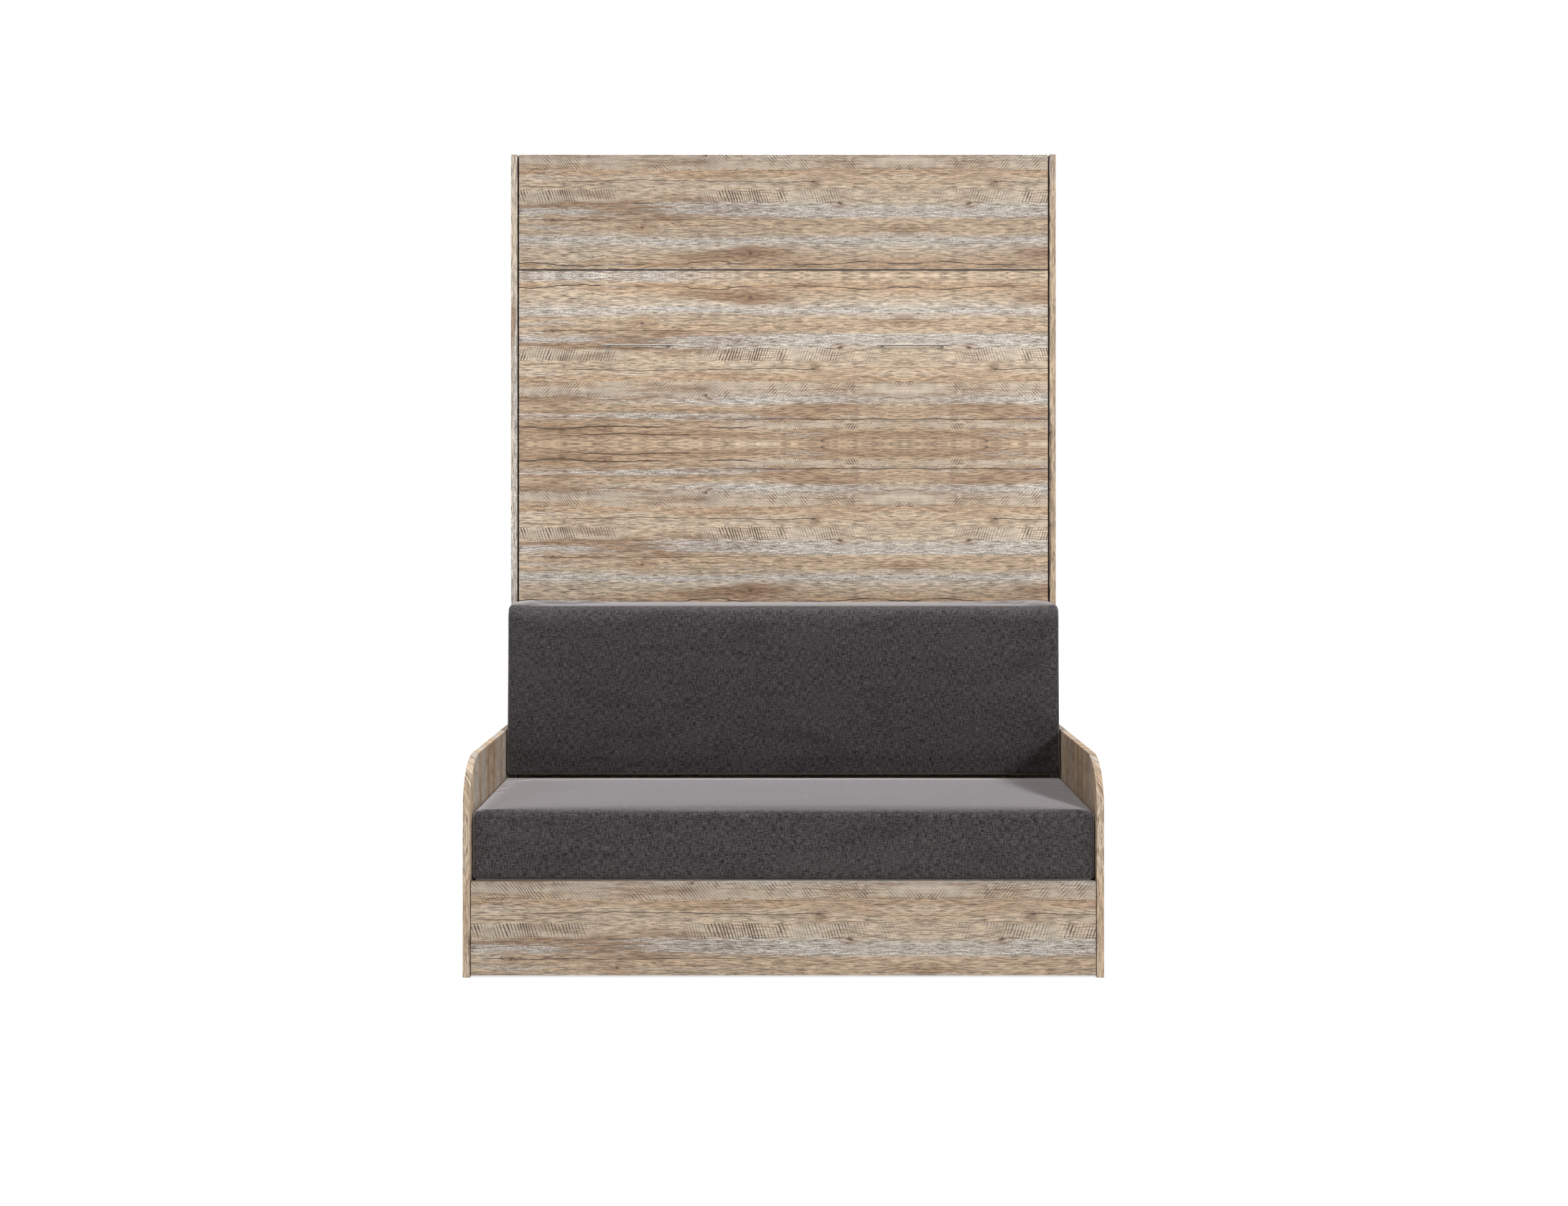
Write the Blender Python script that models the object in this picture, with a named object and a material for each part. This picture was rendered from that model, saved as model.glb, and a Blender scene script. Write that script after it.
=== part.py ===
"""Vertical wall bed for a 140 x 200 cm mattress, with a sofa in front of it.

The bed turns about a low pivot in the cabinet sides. Its upper front panel is hinged at
the seam and becomes the foot, with two telescopic legs. The backrest is fixed to the bed
front and drops in behind the seat, which rolls forward while the bed comes down.

Metres. X runs along the width, -Y points into the room, +Z is up. The origin is the
centre of the whole outline, on the floor. Run with: blender --background --python part.py
"""
import bpy
import bmesh
from math import atan2, cos, hypot, pi, sin
from mathutils import Matrix, Vector

for old in list(bpy.data.objects):
    bpy.data.objects.remove(old, do_unlink=True)

# Cabinet
cabinet_width = 1.580
cabinet_height = 2.180
cabinet_depth = 0.480
board = 0.018
wall_rail_height = 0.100
wall_rail_mid_z = 1.050
plinth_height = 0.100
top_board_clearance = 0.002

# Fits that several pieces share
touch = 0.0003
edge_round = 0.0008
overrun = 0.010
bore_clearance = 0.0003

# Moving front
side_gap = 0.005
front_top_gap = 0.001
front_bottom = 0.110
foot_panel_height = 0.3333
seam_gap = 0.002

# Bed pivot
pivot_height = 0.500
pivot_setback = 0.050
pivot_pin_radius = 0.008
pivot_plate_thick = 0.003
pivot_plate_width = 0.080
pivot_plate_height = 0.180
pivot_pin_end_gap = 0.001

# Bed frame, slats and mattress
bed_top_gap = 0.011
spring_bay = 0.043
mattress_thick = 0.180
mattress_side_gap = 0.004
mattress_end_gap = 0.0015
mattress_round = 0.030
mattress_crown = 0.002
rail_thick = 0.025
rail_depth = 0.140
rail_lift = 0.002
cross_rail_thick = 0.018
foot_rail_setback = 0.034
slat_offset = 0.057
slat_count = 14
slat_width = 0.068
slat_thick = 0.008
tape_width = 0.030
tape_thick = 0.0015
tape_place_share = 0.5
ledge = 0.025
beam_width = 0.040
strap_width = 0.045
strap_thick = 0.0015
strap_tuck = 0.060
strap_places_share = (0.24, 0.78)

# Backrest, fixed to the bed front
backrest_bottom = 0.418
backrest_top = 0.883
backrest_foot_reach = 0.192
backrest_head_reach = 0.170
backrest_side_gap = 0.004
backrest_round = 0.016
backrest_crown = 0.005
backrest_board_thick = 0.012
backrest_board_inset = 0.030

# Handles
handle_length = 0.210
handle_bar_radius = 0.0026
handle_post_radius = 0.0022
handle_post_spacing = 0.173
handle_reach = 0.028
handle_drop = 0.2207
handle_left_x = -0.4195
handle_right_x = 0.374

# Foot panel hinge and telescopic legs
hinge_leaf_thick = 0.0005
hinge_leaf_width = 0.014
hinge_barrel_radius = 0.0007
hinge_end_inset = 0.010
leg_outer = 0.025
leg_guide_wall = 0.0022
leg_guide_length = 0.220
leg_guide_low = 0.055
leg_clearance = 0.0005
leg_side_inset = 0.154
leg_tail = 0.020
leg_top_gap = 0.011
leg_pad_height = 0.008
leg_pad_lip = 0.0015
leg_floor_gap = 0.0005

# Gas springs
spring_anchor_back = 0.300
spring_anchor_height = 0.850
spring_lever = 0.200
spring_eye_thick = 0.008
spring_eye_radius = 0.012
spring_eye_reach = 0.019
spring_pin_radius = 0.004
spring_tube_radius = 0.011
spring_tube_start = 0.022
spring_tube_length = 0.298
spring_tube_wall = 0.0057
spring_rod_radius = 0.004
spring_rod_engaged = 0.025
spring_side_gap = 0.009
spring_neck_width = 0.012
spring_plate = 0.040
spring_clip_radius = 0.007
spring_clip_thick = 0.0015
stud_collar_radius = 0.009

# Sofa frame
sofa_reach = 0.661
arm_height = 0.536
arm_corner = 0.115
arm_corner_steps = 12
sofa_rail_height = 0.200
seat_guide_low = 0.100
seat_guide_height = 0.030
seat_guide_front_gap = 0.001

# Seat unit, which rolls forward between the arms
seat_travel = 0.260
seat_panel_gap = 0.002
seat_panel_setback = 0.001
seat_floor_gap = 0.0055
platform_top = 0.236
seat_back_gap = 0.004
seat_side_inset = 0.008
seat_side_floor_gap = 0.020
platform_rear_inset = 0.002
seat_cushion_setback = 0.013
seat_cushion_side_gap = 0.003
seat_cushion_top = 0.400
seat_cushion_crown = 0.005
seat_cushion_round = 0.018
seat_bottom_thick = 0.012
cushion_draw = 0.002

# Castors under the seat unit
castor_height = 0.055
roller_radius = 0.020
roller_width = 0.022
roller_edge = 0.003
axle_radius = 0.003
axle_head = 0.001
fork_sheet = 0.002
fork_plate_thick = 0.003
fork_plate_length = 0.044
fork_plate_width = 0.040
fork_play = 0.001
fork_toe_radius = 0.009
castor_side_inset = 0.050
castor_end_inset = 0.055

# Places worked out from the sizes above
half_width = cabinet_width / 2
inner_half = half_width - board
front_half = inner_half - side_gap
front_y = (sofa_reach - cabinet_depth) / 2
front_inner_y = front_y + board
back_y = front_y + cabinet_depth
arm_front_y = front_y - sofa_reach
front_top = cabinet_height - front_top_gap
seam_z = front_top - foot_panel_height - seam_gap / 2
pivot_y = front_y + pivot_setback
handle_height = seam_z - handle_drop
bed_bottom = front_bottom + rail_lift
bed_top = cabinet_height - board - bed_top_gap
mattress_low = bed_bottom + cross_rail_thick + mattress_end_gap
mattress_high = bed_top - cross_rail_thick - mattress_end_gap
mattress_length = mattress_high - mattress_low
rail_outer = inner_half - spring_bay
rail_inner = rail_outer - rail_thick
mattress_width = 2 * (rail_inner - mattress_side_gap)
leg_place_x = rail_inner - leg_side_inset
rail_front_y = front_inner_y + touch
rail_back_y = rail_front_y + rail_depth
slat_y = front_inner_y + slat_offset
mattress_y = slat_y + slat_thick + tape_thick + touch
seat_rear_y = front_y - backrest_foot_reach - seat_back_gap

FINISHES = {
    "oak_decor": ((0.66, 0.55, 0.43), 0.55, 0.0),
    "plain_board": ((0.72, 0.66, 0.57), 0.6, 0.0),
    "birch": ((0.78, 0.66, 0.48), 0.55, 0.0),
    "charcoal_fabric": ((0.12, 0.115, 0.125), 0.9, 0.0),
    "mattress_fabric": ((0.85, 0.85, 0.83), 0.9, 0.0),
    "webbing": ((0.10, 0.10, 0.11), 0.8, 0.0),
    "brushed_steel": ((0.62, 0.61, 0.60), 0.35, 1.0),
    "zinc_steel": ((0.55, 0.56, 0.57), 0.4, 1.0),
    "black_paint": ((0.03, 0.03, 0.03), 0.4, 0.0),
    "grey_plastic": ((0.20, 0.20, 0.21), 0.5, 0.0),
}


def finish(name, kind):
    """A material of the piece's own, with the colour, roughness and metal of its kind."""
    colour, roughness, metallic = FINISHES[kind]
    material = bpy.data.materials.new(name + "_finish")
    material.use_nodes = True
    shader = material.node_tree.nodes["Principled BSDF"]
    shader.inputs["Base Color"].default_value = (*colour, 1.0)
    shader.inputs["Roughness"].default_value = roughness
    shader.inputs["Metallic"].default_value = metallic
    material.diffuse_color = (*colour, 1.0)
    return material


def pivot_empty(name, place):
    """An empty on a joint's axis, which carries the pieces that turn or slide there."""
    empty = bpy.data.objects.new(name, None)
    empty.location = place
    bpy.context.collection.objects.link(empty)
    return empty


def piece(name, bm, kind, carrier=None, smooth=False):
    """Turn a bmesh in world coordinates into a named object on its carrier."""
    bmesh.ops.recalc_face_normals(bm, faces=bm.faces)
    mesh = bpy.data.meshes.new(name)
    bm.to_mesh(mesh)
    bm.free()
    obj = bpy.data.objects.new(name, mesh)
    bpy.context.collection.objects.link(obj)
    if kind:
        mesh.materials.append(finish(name, kind))
    if smooth:
        mesh.shade_smooth()
        mesh.set_sharp_from_angle(angle=pi / 5)
    if carrier:
        mesh.transform(Matrix.Translation(-carrier.location))
        obj.parent = carrier
    return obj


def cuboid(x, y, z):
    """A box between two limits along each axis."""
    bm = bmesh.new()
    size = (x[1] - x[0], y[1] - y[0], z[1] - z[0])
    centre = ((x[0] + x[1]) / 2, (y[0] + y[1]) / 2, (z[0] + z[1]) / 2)
    bmesh.ops.create_cube(bm, size=1, matrix=Matrix.Translation(centre) @ Matrix.Diagonal((*size, 1)))
    return bm


def bevel(obj, width, segments=1):
    """Ease the sharp edges of a piece."""
    modifier = obj.modifiers.new("eased_edges", "BEVEL")
    modifier.width = width
    modifier.segments = segments
    modifier.limit_method = "ANGLE"
    modifier.harden_normals = False
    return obj


def board_piece(name, x, y, z, kind="oak_decor", carrier=None):
    """A sawn board with its edges just eased."""
    return bevel(piece(name, cuboid(x, y, z), kind, carrier), edge_round)


def tool(name, bm, carrier=None):
    """A hidden solid that a Boolean uses."""
    obj = piece(name, bm, None, carrier)
    obj.hide_render = True
    obj.display_type = "WIRE"
    return obj


def combine(obj, bm, operation):
    """Cut, join or trim a piece with another solid, kept as a live modifier."""
    helper = tool(f"{obj.name}_{operation.lower()}_{len(obj.modifiers)}", bm, obj.parent)
    modifier = obj.modifiers.new(operation.lower(), "BOOLEAN")
    modifier.operation = operation
    modifier.object = helper
    return obj


def outline_solid(points, span, place):
    """Extrude a flat outline. place(a, b, c) puts outline a, b at depth c in the world."""
    bm = bmesh.new()
    rings = [[bm.verts.new(place(a, b, c)) for a, b in points] for c in span]
    bm.faces.new(rings[0])
    bm.faces.new(list(reversed(rings[1])))
    count = len(points)
    for i in range(count):
        j = (i + 1) % count
        bm.faces.new((rings[0][i], rings[1][i], rings[1][j], rings[0][j]))
    return bm


def along_x(a, b, c):
    """Outline in Y and Z, depth in X."""
    return (c, a, b)


def along_z(a, b, c):
    """Outline in X and Y, depth in Z."""
    return (a, b, c)


def arc(centre, radius, start, end, steps):
    """Points along an arc, angles in radians from the outline's first axis."""
    turn = (end - start) / steps
    return [(centre[0] + radius * cos(start + turn * i), centre[1] + radius * sin(start + turn * i))
            for i in range(steps + 1)]


def rod(start, end, radius, sides=24):
    """A round bar between two points."""
    start, end = Vector(start), Vector(end)
    axis = end - start
    bm = bmesh.new()
    turn = axis.to_track_quat("Z", "Y").to_matrix().to_4x4()
    bmesh.ops.create_cone(bm, cap_ends=True, segments=sides, radius1=radius, radius2=radius,
                          depth=axis.length, matrix=Matrix.Translation((start + end) / 2) @ turn)
    return bm


def ring_solid(profile, matrix, sides=24):
    """Revolve a closed outline of (radius, height) points, none on the axis, about Z."""
    bm = bmesh.new()
    rings = []
    for i in range(sides):
        angle = 2 * pi * i / sides
        rings.append([bm.verts.new(matrix @ Vector((r * cos(angle), r * sin(angle), h)))
                      for r, h in profile])
    count = len(profile)
    for i in range(sides):
        here, there = rings[i], rings[(i + 1) % sides]
        for k in range(count):
            m = (k + 1) % count
            bm.faces.new((here[k], there[k], there[m], here[m]))
    return bm


def cushion_solid(counts, shape):
    """A closed grid box of counts cells, each point placed by shape(u, v, w) in -1 to 1."""
    bm = bmesh.new()
    bmesh.ops.create_cube(bm, size=2)
    for axis in range(3):
        edges = [e for e in bm.edges
                 if abs((e.verts[0].co - e.verts[1].co).normalized()[axis]) > 0.5]
        bmesh.ops.subdivide_edges(bm, edges=edges, cuts=counts[axis] - 1, use_grid_fill=True)
    for vert in bm.verts:
        vert.co = shape(*vert.co)
    return bm


def mix(low, high, share):
    """Value at a share from -1 to 1 between two limits."""
    return low + (high - low) * (share + 1) / 2


def make_cabinet():
    """Sides, top, rails on the wall, plinth and the steel pieces screwed to the sides."""
    for name, side in (("left", -1), ("right", 1)):
        x = sorted((side * inner_half, side * half_width))
        board_piece(f"cabinet_side_{name}", x, (front_y, back_y), (0, cabinet_height))
    between = (-inner_half + touch, inner_half - touch)
    top_low = cabinet_height - board
    board_piece("cabinet_top", between, (front_inner_y + top_board_clearance, back_y),
                (top_low, cabinet_height))
    rail_y = (back_y - board, back_y)
    rails = (("bottom", 0), ("middle", wall_rail_mid_z),
             ("top", top_low - touch - wall_rail_height))
    for name, low in rails:
        board_piece(f"wall_rail_{name}", between, rail_y, (low, low + wall_rail_height),
                    "plain_board")
    board_piece("plinth_board", between, (front_y, front_inner_y), (0, plinth_height))
    for name, side in (("left", -1), ("right", 1)):
        make_pivot_plate(name, side)
        make_spring_bracket(name, side)


def rounded_rectangle(centre, size, radius, steps=4):
    """Outline of a rectangle with round corners."""
    half = (size[0] / 2 - radius, size[1] / 2 - radius)
    points = []
    for k, (a, b) in enumerate(((1, 1), (-1, 1), (-1, -1), (1, -1))):
        corner = (centre[0] + a * half[0], centre[1] + b * half[1])
        points += arc(corner, radius, k * pi / 2, (k + 1) * pi / 2, steps)
    return points


def make_pivot_plate(name, side):
    """Steel plate on the cabinet side, with the pin that the bed turns on."""
    outer = side * (inner_half - touch)
    inner = outer - side * pivot_plate_thick
    outline = rounded_rectangle((pivot_y + pivot_plate_width / 4, pivot_height),
                                (pivot_plate_width, pivot_plate_height), pivot_plate_width / 5)
    obj = piece(f"pivot_plate_{name}", outline_solid(outline, (outer, inner), along_x),
                "zinc_steel", smooth=True)
    tip = side * (rail_inner + pivot_pin_end_gap)
    pin = rod(((outer + inner) / 2, pivot_y, pivot_height), (tip, pivot_y, pivot_height),
              pivot_pin_radius, 32)
    return combine(obj, pin, "UNION")


def make_spring_bracket(name, side):
    """Small plate on the cabinet side, with the pin and clip that hold a gas spring."""
    outer = side * (inner_half - touch)
    inner = outer - side * pivot_plate_thick
    y, z = front_y + spring_anchor_back, spring_anchor_height
    outline = rounded_rectangle((y, z), (spring_plate, spring_plate), spring_plate / 5)
    obj = piece(f"spring_bracket_{name}", outline_solid(outline, (outer, inner), along_x),
                "zinc_steel", smooth=True)
    eye_inner = side * (spring_middle_x() - spring_eye_thick / 2)
    clip_outer = eye_inner - side * touch
    clip_inner = clip_outer - side * spring_clip_thick
    pin = rod(((outer + inner) / 2, y, z), ((clip_outer + clip_inner) / 2, y, z), spring_pin_radius)
    combine(obj, pin, "UNION")
    return combine(obj, rod((clip_outer, y, z), (clip_inner, y, z), spring_clip_radius), "UNION")


def spring_middle_x():
    """Distance of a gas spring's axis from the middle of the bed."""
    return inner_half - spring_side_gap - spring_tube_radius


def make_sofa_frame():
    """Two board arms with a round front corner, and the rail that ties them at the back."""
    for name, side in (("left", -1), ("right", 1)):
        rear = front_y - touch
        centre = (arm_front_y + arm_corner, arm_height - arm_corner)
        outline = [(rear, 0), (rear, arm_height)]
        outline += arc(centre, arm_corner, pi / 2, pi, arm_corner_steps)
        outline += [(arm_front_y, 0)]
        x = (side * inner_half, side * half_width)
        bevel(piece(f"sofa_arm_{name}", outline_solid(outline, x, along_x), "oak_decor", smooth=True),
              edge_round)
    board_piece("sofa_rear_rail", (-inner_half + touch, inner_half - touch),
                (front_y - touch - board, front_y - touch), (0, sofa_rail_height), "plain_board")


def make_seat_guides():
    """Hardwood strips on the arms that keep the rolling seat unit straight."""
    near = inner_half - seat_panel_gap - seat_side_inset + touch
    front = arm_front_y + seat_panel_setback + board + seat_guide_front_gap
    for name, side in (("left", -1), ("right", 1)):
        x = sorted((side * near, side * (inner_half - touch)))
        board_piece(f"seat_guide_{name}", x, (front, seat_rear_y),
                    (seat_guide_low, seat_guide_low + seat_guide_height), "birch")


def make_bed(bed):
    """The front, the frame behind it, slats, mattress, backrest and handles."""
    board_piece("bed_front_panel", (-front_half, front_half), (front_y, front_inner_y),
                (front_bottom, seam_z - seam_gap / 2), carrier=bed)
    for name, side in (("left", -1), ("right", 1)):
        make_bed_rail(bed, name, side)
    between = (-rail_inner + touch, rail_inner - touch)
    board_piece("bed_head_rail", between, (rail_front_y, rail_back_y),
                (bed_bottom, bed_bottom + cross_rail_thick), "plain_board", bed)
    board_piece("bed_foot_rail", between, (rail_front_y + foot_rail_setback, rail_back_y),
                (bed_top - cross_rail_thick, bed_top), "plain_board", bed)
    inside = (bed_bottom + cross_rail_thick + touch, bed_top - cross_rail_thick - touch)
    board_piece("bed_centre_beam", (-beam_width / 2, beam_width / 2),
                (rail_front_y, slat_y - touch), inside, "birch", bed)
    make_slats(bed, inside)
    make_mattress(bed)
    make_backrest(bed)
    make_handle(bed, "left", handle_left_x)
    make_handle(bed, "right", handle_right_x)


def make_bed_rail(bed, name, side):
    """Side rail with the pivot's bore, the ledge for the slats and the gas spring's stud."""
    x = sorted((side * rail_inner, side * rail_outer))
    rail = board_piece(f"bed_rail_{name}", x, (rail_front_y, rail_back_y), (bed_bottom, bed_top),
                       "plain_board", bed)
    bore = rod((x[0] - overrun, pivot_y, pivot_height), (x[1] + overrun, pivot_y, pivot_height),
               pivot_pin_radius + bore_clearance, 32)
    combine(rail, bore, "DIFFERENCE")
    ledge_x = sorted((side * (rail_inner - touch), side * (rail_inner - ledge)))
    inside = (bed_bottom + cross_rail_thick + touch, bed_top - cross_rail_thick - touch)
    board_piece(f"slat_ledge_{name}", ledge_x, (slat_y - touch - ledge, slat_y - touch), inside,
                "birch", bed)
    base = side * (rail_outer + touch)
    tip = side * (spring_middle_x() - spring_eye_thick / 2 - touch)
    z = pivot_height - spring_lever
    outline = rounded_rectangle((pivot_y, z), (spring_plate, spring_plate), spring_plate / 5)
    stud = piece(f"spring_stud_{name}",
                 outline_solid(outline, (base, base + side * pivot_plate_thick), along_x),
                 "zinc_steel", bed, smooth=True)
    combine(stud, rod((base + side * pivot_plate_thick / 2, pivot_y, z), (tip, pivot_y, z),
                      stud_collar_radius), "UNION")


def make_slats(bed, inside):
    """Slats held together by two tapes, as a slatted base that comes as a roll."""
    half = rail_inner - mattress_side_gap
    pitch = (inside[1] - inside[0]) / slat_count
    slats = bmesh.new()
    for i in range(slat_count):
        middle = inside[0] + pitch * (i + 1 / 2)
        slat = cuboid((-half, half), (slat_y, slat_y + slat_thick),
                      (middle - slat_width / 2, middle + slat_width / 2))
        joined = bpy.data.meshes.new("slat")
        slat.to_mesh(joined)
        slat.free()
        slats.from_mesh(joined)
        bpy.data.meshes.remove(joined)
    base = piece("slatted_base", slats, "birch", bed)
    for side in (-1, 1):
        x = side * half * tape_place_share
        tape = cuboid((x - tape_width / 2, x + tape_width / 2),
                      (slat_y + slat_thick - tape_thick, slat_y + slat_thick + tape_thick),
                      (inside[0] + pitch / 4, inside[1] - pitch / 4))
        combine(base, tape, "UNION")


def make_mattress(bed):
    """The mattress and the two elastic straps that hold it while the bed is up."""
    half = mattress_width / 2
    far = mattress_y + mattress_thick

    def shape(u, v, w):
        swell = mattress_crown * (1 - u * u) * (1 - w * w) if v > 0 else 0
        return Vector((half * u, mix(mattress_y, far - mattress_crown, v) + swell,
                       mix(mattress_low, mattress_high, w)))

    mattress = piece("mattress", cushion_solid((8, 2, 10), shape), "mattress_fabric", bed, smooth=True)
    bevel(mattress, mattress_round, 3)
    for number, share in enumerate(strap_places_share, 1):
        z = mattress_low + mattress_length * share
        outer = half + touch + strap_thick
        back = far + touch
        near = rail_back_y - strap_tuck
        points = [(-outer, near), (-outer, back + strap_thick), (outer, back + strap_thick), (outer, near),
                  (outer - strap_thick, near), (outer - strap_thick, back),
                  (-outer + strap_thick, back), (-outer + strap_thick, near)]
        bm = outline_solid(points, (z - strap_width / 2, z + strap_width / 2), along_z)
        piece(f"mattress_strap_{number}", bm, "webbing", bed)


def make_backrest(bed):
    """Upholstered backrest on its mounting board: upright behind, leaning in front."""
    half = inner_half - backrest_side_gap
    board_front = front_y - touch - backrest_board_thick
    inset = backrest_board_inset
    board_piece("backrest_board", (-half + inset, half - inset), (board_front, front_y - touch),
                (backrest_bottom + inset, backrest_top - inset), "plain_board", bed)
    rear = board_front - touch

    def shape(u, v, w):
        reach = mix(backrest_foot_reach, backrest_head_reach, w) - backrest_crown
        swell = backrest_crown * (1 - u ** 4) * (1 - w * w)
        face = front_y - reach - swell
        side_draw = cushion_draw * (1 - w * w)
        return Vector(((half - side_draw) * u, mix(face, rear, v), mix(backrest_bottom, backrest_top, w)))

    cushion = piece("backrest_cushion", cushion_solid((12, 2, 5), shape), "charcoal_fabric", bed,
                    smooth=True)
    bevel(cushion, backrest_round, 3)


def make_handle(bed, name, centre_x):
    """Slim bar on two posts."""
    bar_y = front_y - handle_reach
    half = handle_length / 2
    handle = piece(f"handle_{name}", rod((centre_x - half, bar_y, handle_height),
                                         (centre_x + half, bar_y, handle_height),
                                         handle_bar_radius, 12), "brushed_steel", bed, smooth=True)
    for side in (-1, 1):
        x = centre_x + side * handle_post_spacing / 2
        combine(handle, rod((x, front_y - touch, handle_height), (x, bar_y, handle_height),
                            handle_post_radius, 12), "UNION")
    return handle


def make_foot_panel(bed, foot):
    """Upper front panel, its strip hinge in the seam and the guides of the two legs."""
    board_piece("foot_panel", (-front_half, front_half), (front_y, front_inner_y),
                (seam_z + seam_gap / 2, front_top), carrier=foot)
    x = (-front_half + hinge_end_inset, front_half - hinge_end_inset)
    far = front_y + hinge_leaf_width
    low = seam_z - seam_gap / 2 + touch
    leaf = piece("hinge_leaf_lower", cuboid(x, (front_y, far), (low, low + hinge_leaf_thick)),
                 "zinc_steel", bed)
    combine(leaf, rod((x[0], front_y, seam_z), (x[1], front_y, seam_z), hinge_barrel_radius, 12),
            "UNION")
    high = seam_z + seam_gap / 2 - touch
    piece("hinge_leaf_upper", cuboid(x, (front_y + hinge_barrel_radius + touch, far),
                                     (high - hinge_leaf_thick, high)), "zinc_steel", foot)
    for name, side in (("left", -1), ("right", 1)):
        make_leg_guide(foot, name, side)


def make_leg_guide(foot, name, side):
    """Square steel tube on the inner face of the foot panel."""
    outer = leg_outer / 2 + leg_clearance + leg_guide_wall
    centre_y = front_inner_y + touch + outer
    low = seam_z + leg_guide_low
    x = side * leg_place_x
    guide = bevel(piece(f"leg_guide_{name}",
                        cuboid((x - outer, x + outer), (centre_y - outer, centre_y + outer),
                               (low, low + leg_guide_length)), "zinc_steel", foot), edge_round)
    inner = leg_outer / 2 + leg_clearance
    bore = cuboid((x - inner, x + inner), (centre_y - inner, centre_y + inner),
                  (low - overrun, low + leg_guide_length + overrun))
    return combine(guide, bore, "DIFFERENCE")


def make_leg(carrier, name, side):
    """Square leg that slides in its guide, with a wider foot at its end."""
    outer = leg_outer / 2 + leg_clearance + leg_guide_wall
    centre_y = front_inner_y + touch + outer
    x = side * leg_place_x
    half = leg_outer / 2
    low = seam_z + leg_guide_low - leg_tail
    tip = leg_tip_z()
    leg = bevel(piece(f"leg_{name}",
                      cuboid((x - half, x + half), (centre_y - half, centre_y + half),
                             (low, tip - leg_pad_height / 2)), "zinc_steel", carrier), edge_round)
    wide = half + leg_pad_lip
    foot = cuboid((x - wide, x + wide), (centre_y - wide, centre_y + wide), (tip - leg_pad_height, tip))
    return combine(leg, foot, "UNION")


def leg_tip_z():
    """Height of the leg's end while the bed is up."""
    return cabinet_height - board - leg_top_gap


def leg_travel():
    """How far a leg comes out so that it reaches the floor when the bed is down."""
    underside = pivot_height - pivot_setback
    return underside - (leg_tip_z() - seam_z) - leg_floor_gap


def spring_line():
    """Unit direction from a gas spring's anchor to its stud, and the distance, at rest."""
    dy = pivot_y - (front_y + spring_anchor_back)
    dz = pivot_height - spring_lever - spring_anchor_height
    length = hypot(dy, dz)
    return Vector((0, dy / length, dz / length)), length


def spring_open_line():
    """The same with the bed down, when the stud has swung back through a right angle."""
    dy = pivot_y + spring_lever - (front_y + spring_anchor_back)
    dz = pivot_height - spring_anchor_height
    length = hypot(dy, dz)
    return Vector((0, dy / length, dz / length)), length


def eye_solid(anchor, line, side, reach):
    """Flat eye round a pin, with a tongue that runs into the tube or rod it belongs to."""
    angle = atan2(line.z, line.y)
    half_neck = spring_neck_width / 2
    open_angle = atan2(half_neck, spring_eye_radius)
    outline = arc((0, 0), spring_eye_radius, open_angle, 2 * pi - open_angle, 20)
    outline += [(reach, -half_neck), (reach, half_neck)]
    turned = [(anchor.y + a * cos(angle) - b * sin(angle), anchor.z + a * sin(angle) + b * cos(angle))
              for a, b in outline]
    x = side * spring_middle_x()
    return outline_solid(turned, (x - spring_eye_thick / 2, x + spring_eye_thick / 2), along_x)


def make_gas_spring(tube_carrier, rod_carrier, name, side):
    """Tube with an eye on the cabinet's pin, and a rod with an eye beside the bed's stud."""
    x = side * spring_middle_x()
    anchor = Vector((x, front_y + spring_anchor_back, spring_anchor_height))
    line, length = spring_line()
    turn = line.to_track_quat("Z", "Y").to_matrix().to_4x4()
    place = Matrix.Translation(anchor) @ turn
    bore_radius = spring_tube_radius - spring_tube_wall
    ring = [(bore_radius, 0), (spring_tube_radius, 0), (spring_tube_radius, spring_tube_length),
            (bore_radius, spring_tube_length)]
    shell_start = Matrix.Translation((0, 0, spring_tube_start))
    tube = piece(f"gas_tube_{name}", ring_solid(ring, place @ shell_start), "black_paint",
                 tube_carrier, smooth=True)
    plug_end = spring_tube_start + spring_eye_radius
    plug = rod(anchor + line * spring_tube_start, anchor + line * plug_end,
               (spring_tube_radius + bore_radius) / 2)
    combine(tube, plug, "UNION")
    combine(tube, eye_solid(anchor, line, side, plug_end - touch), "UNION")
    pin_bore = rod((x - spring_eye_radius, anchor.y, anchor.z), (x + spring_eye_radius, anchor.y, anchor.z),
                   spring_pin_radius + bore_clearance)
    combine(tube, pin_bore, "DIFFERENCE")
    stud = anchor + line * length
    inside = anchor + line * (spring_tube_start + spring_tube_length - spring_rod_engaged)
    shaft = piece(f"gas_rod_{name}", rod(inside, stud - line * spring_eye_radius / 2, spring_rod_radius),
                  "zinc_steel", rod_carrier, smooth=True)
    combine(shaft, eye_solid(stud, -line, side, spring_eye_reach), "UNION")
    return shaft


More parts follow.
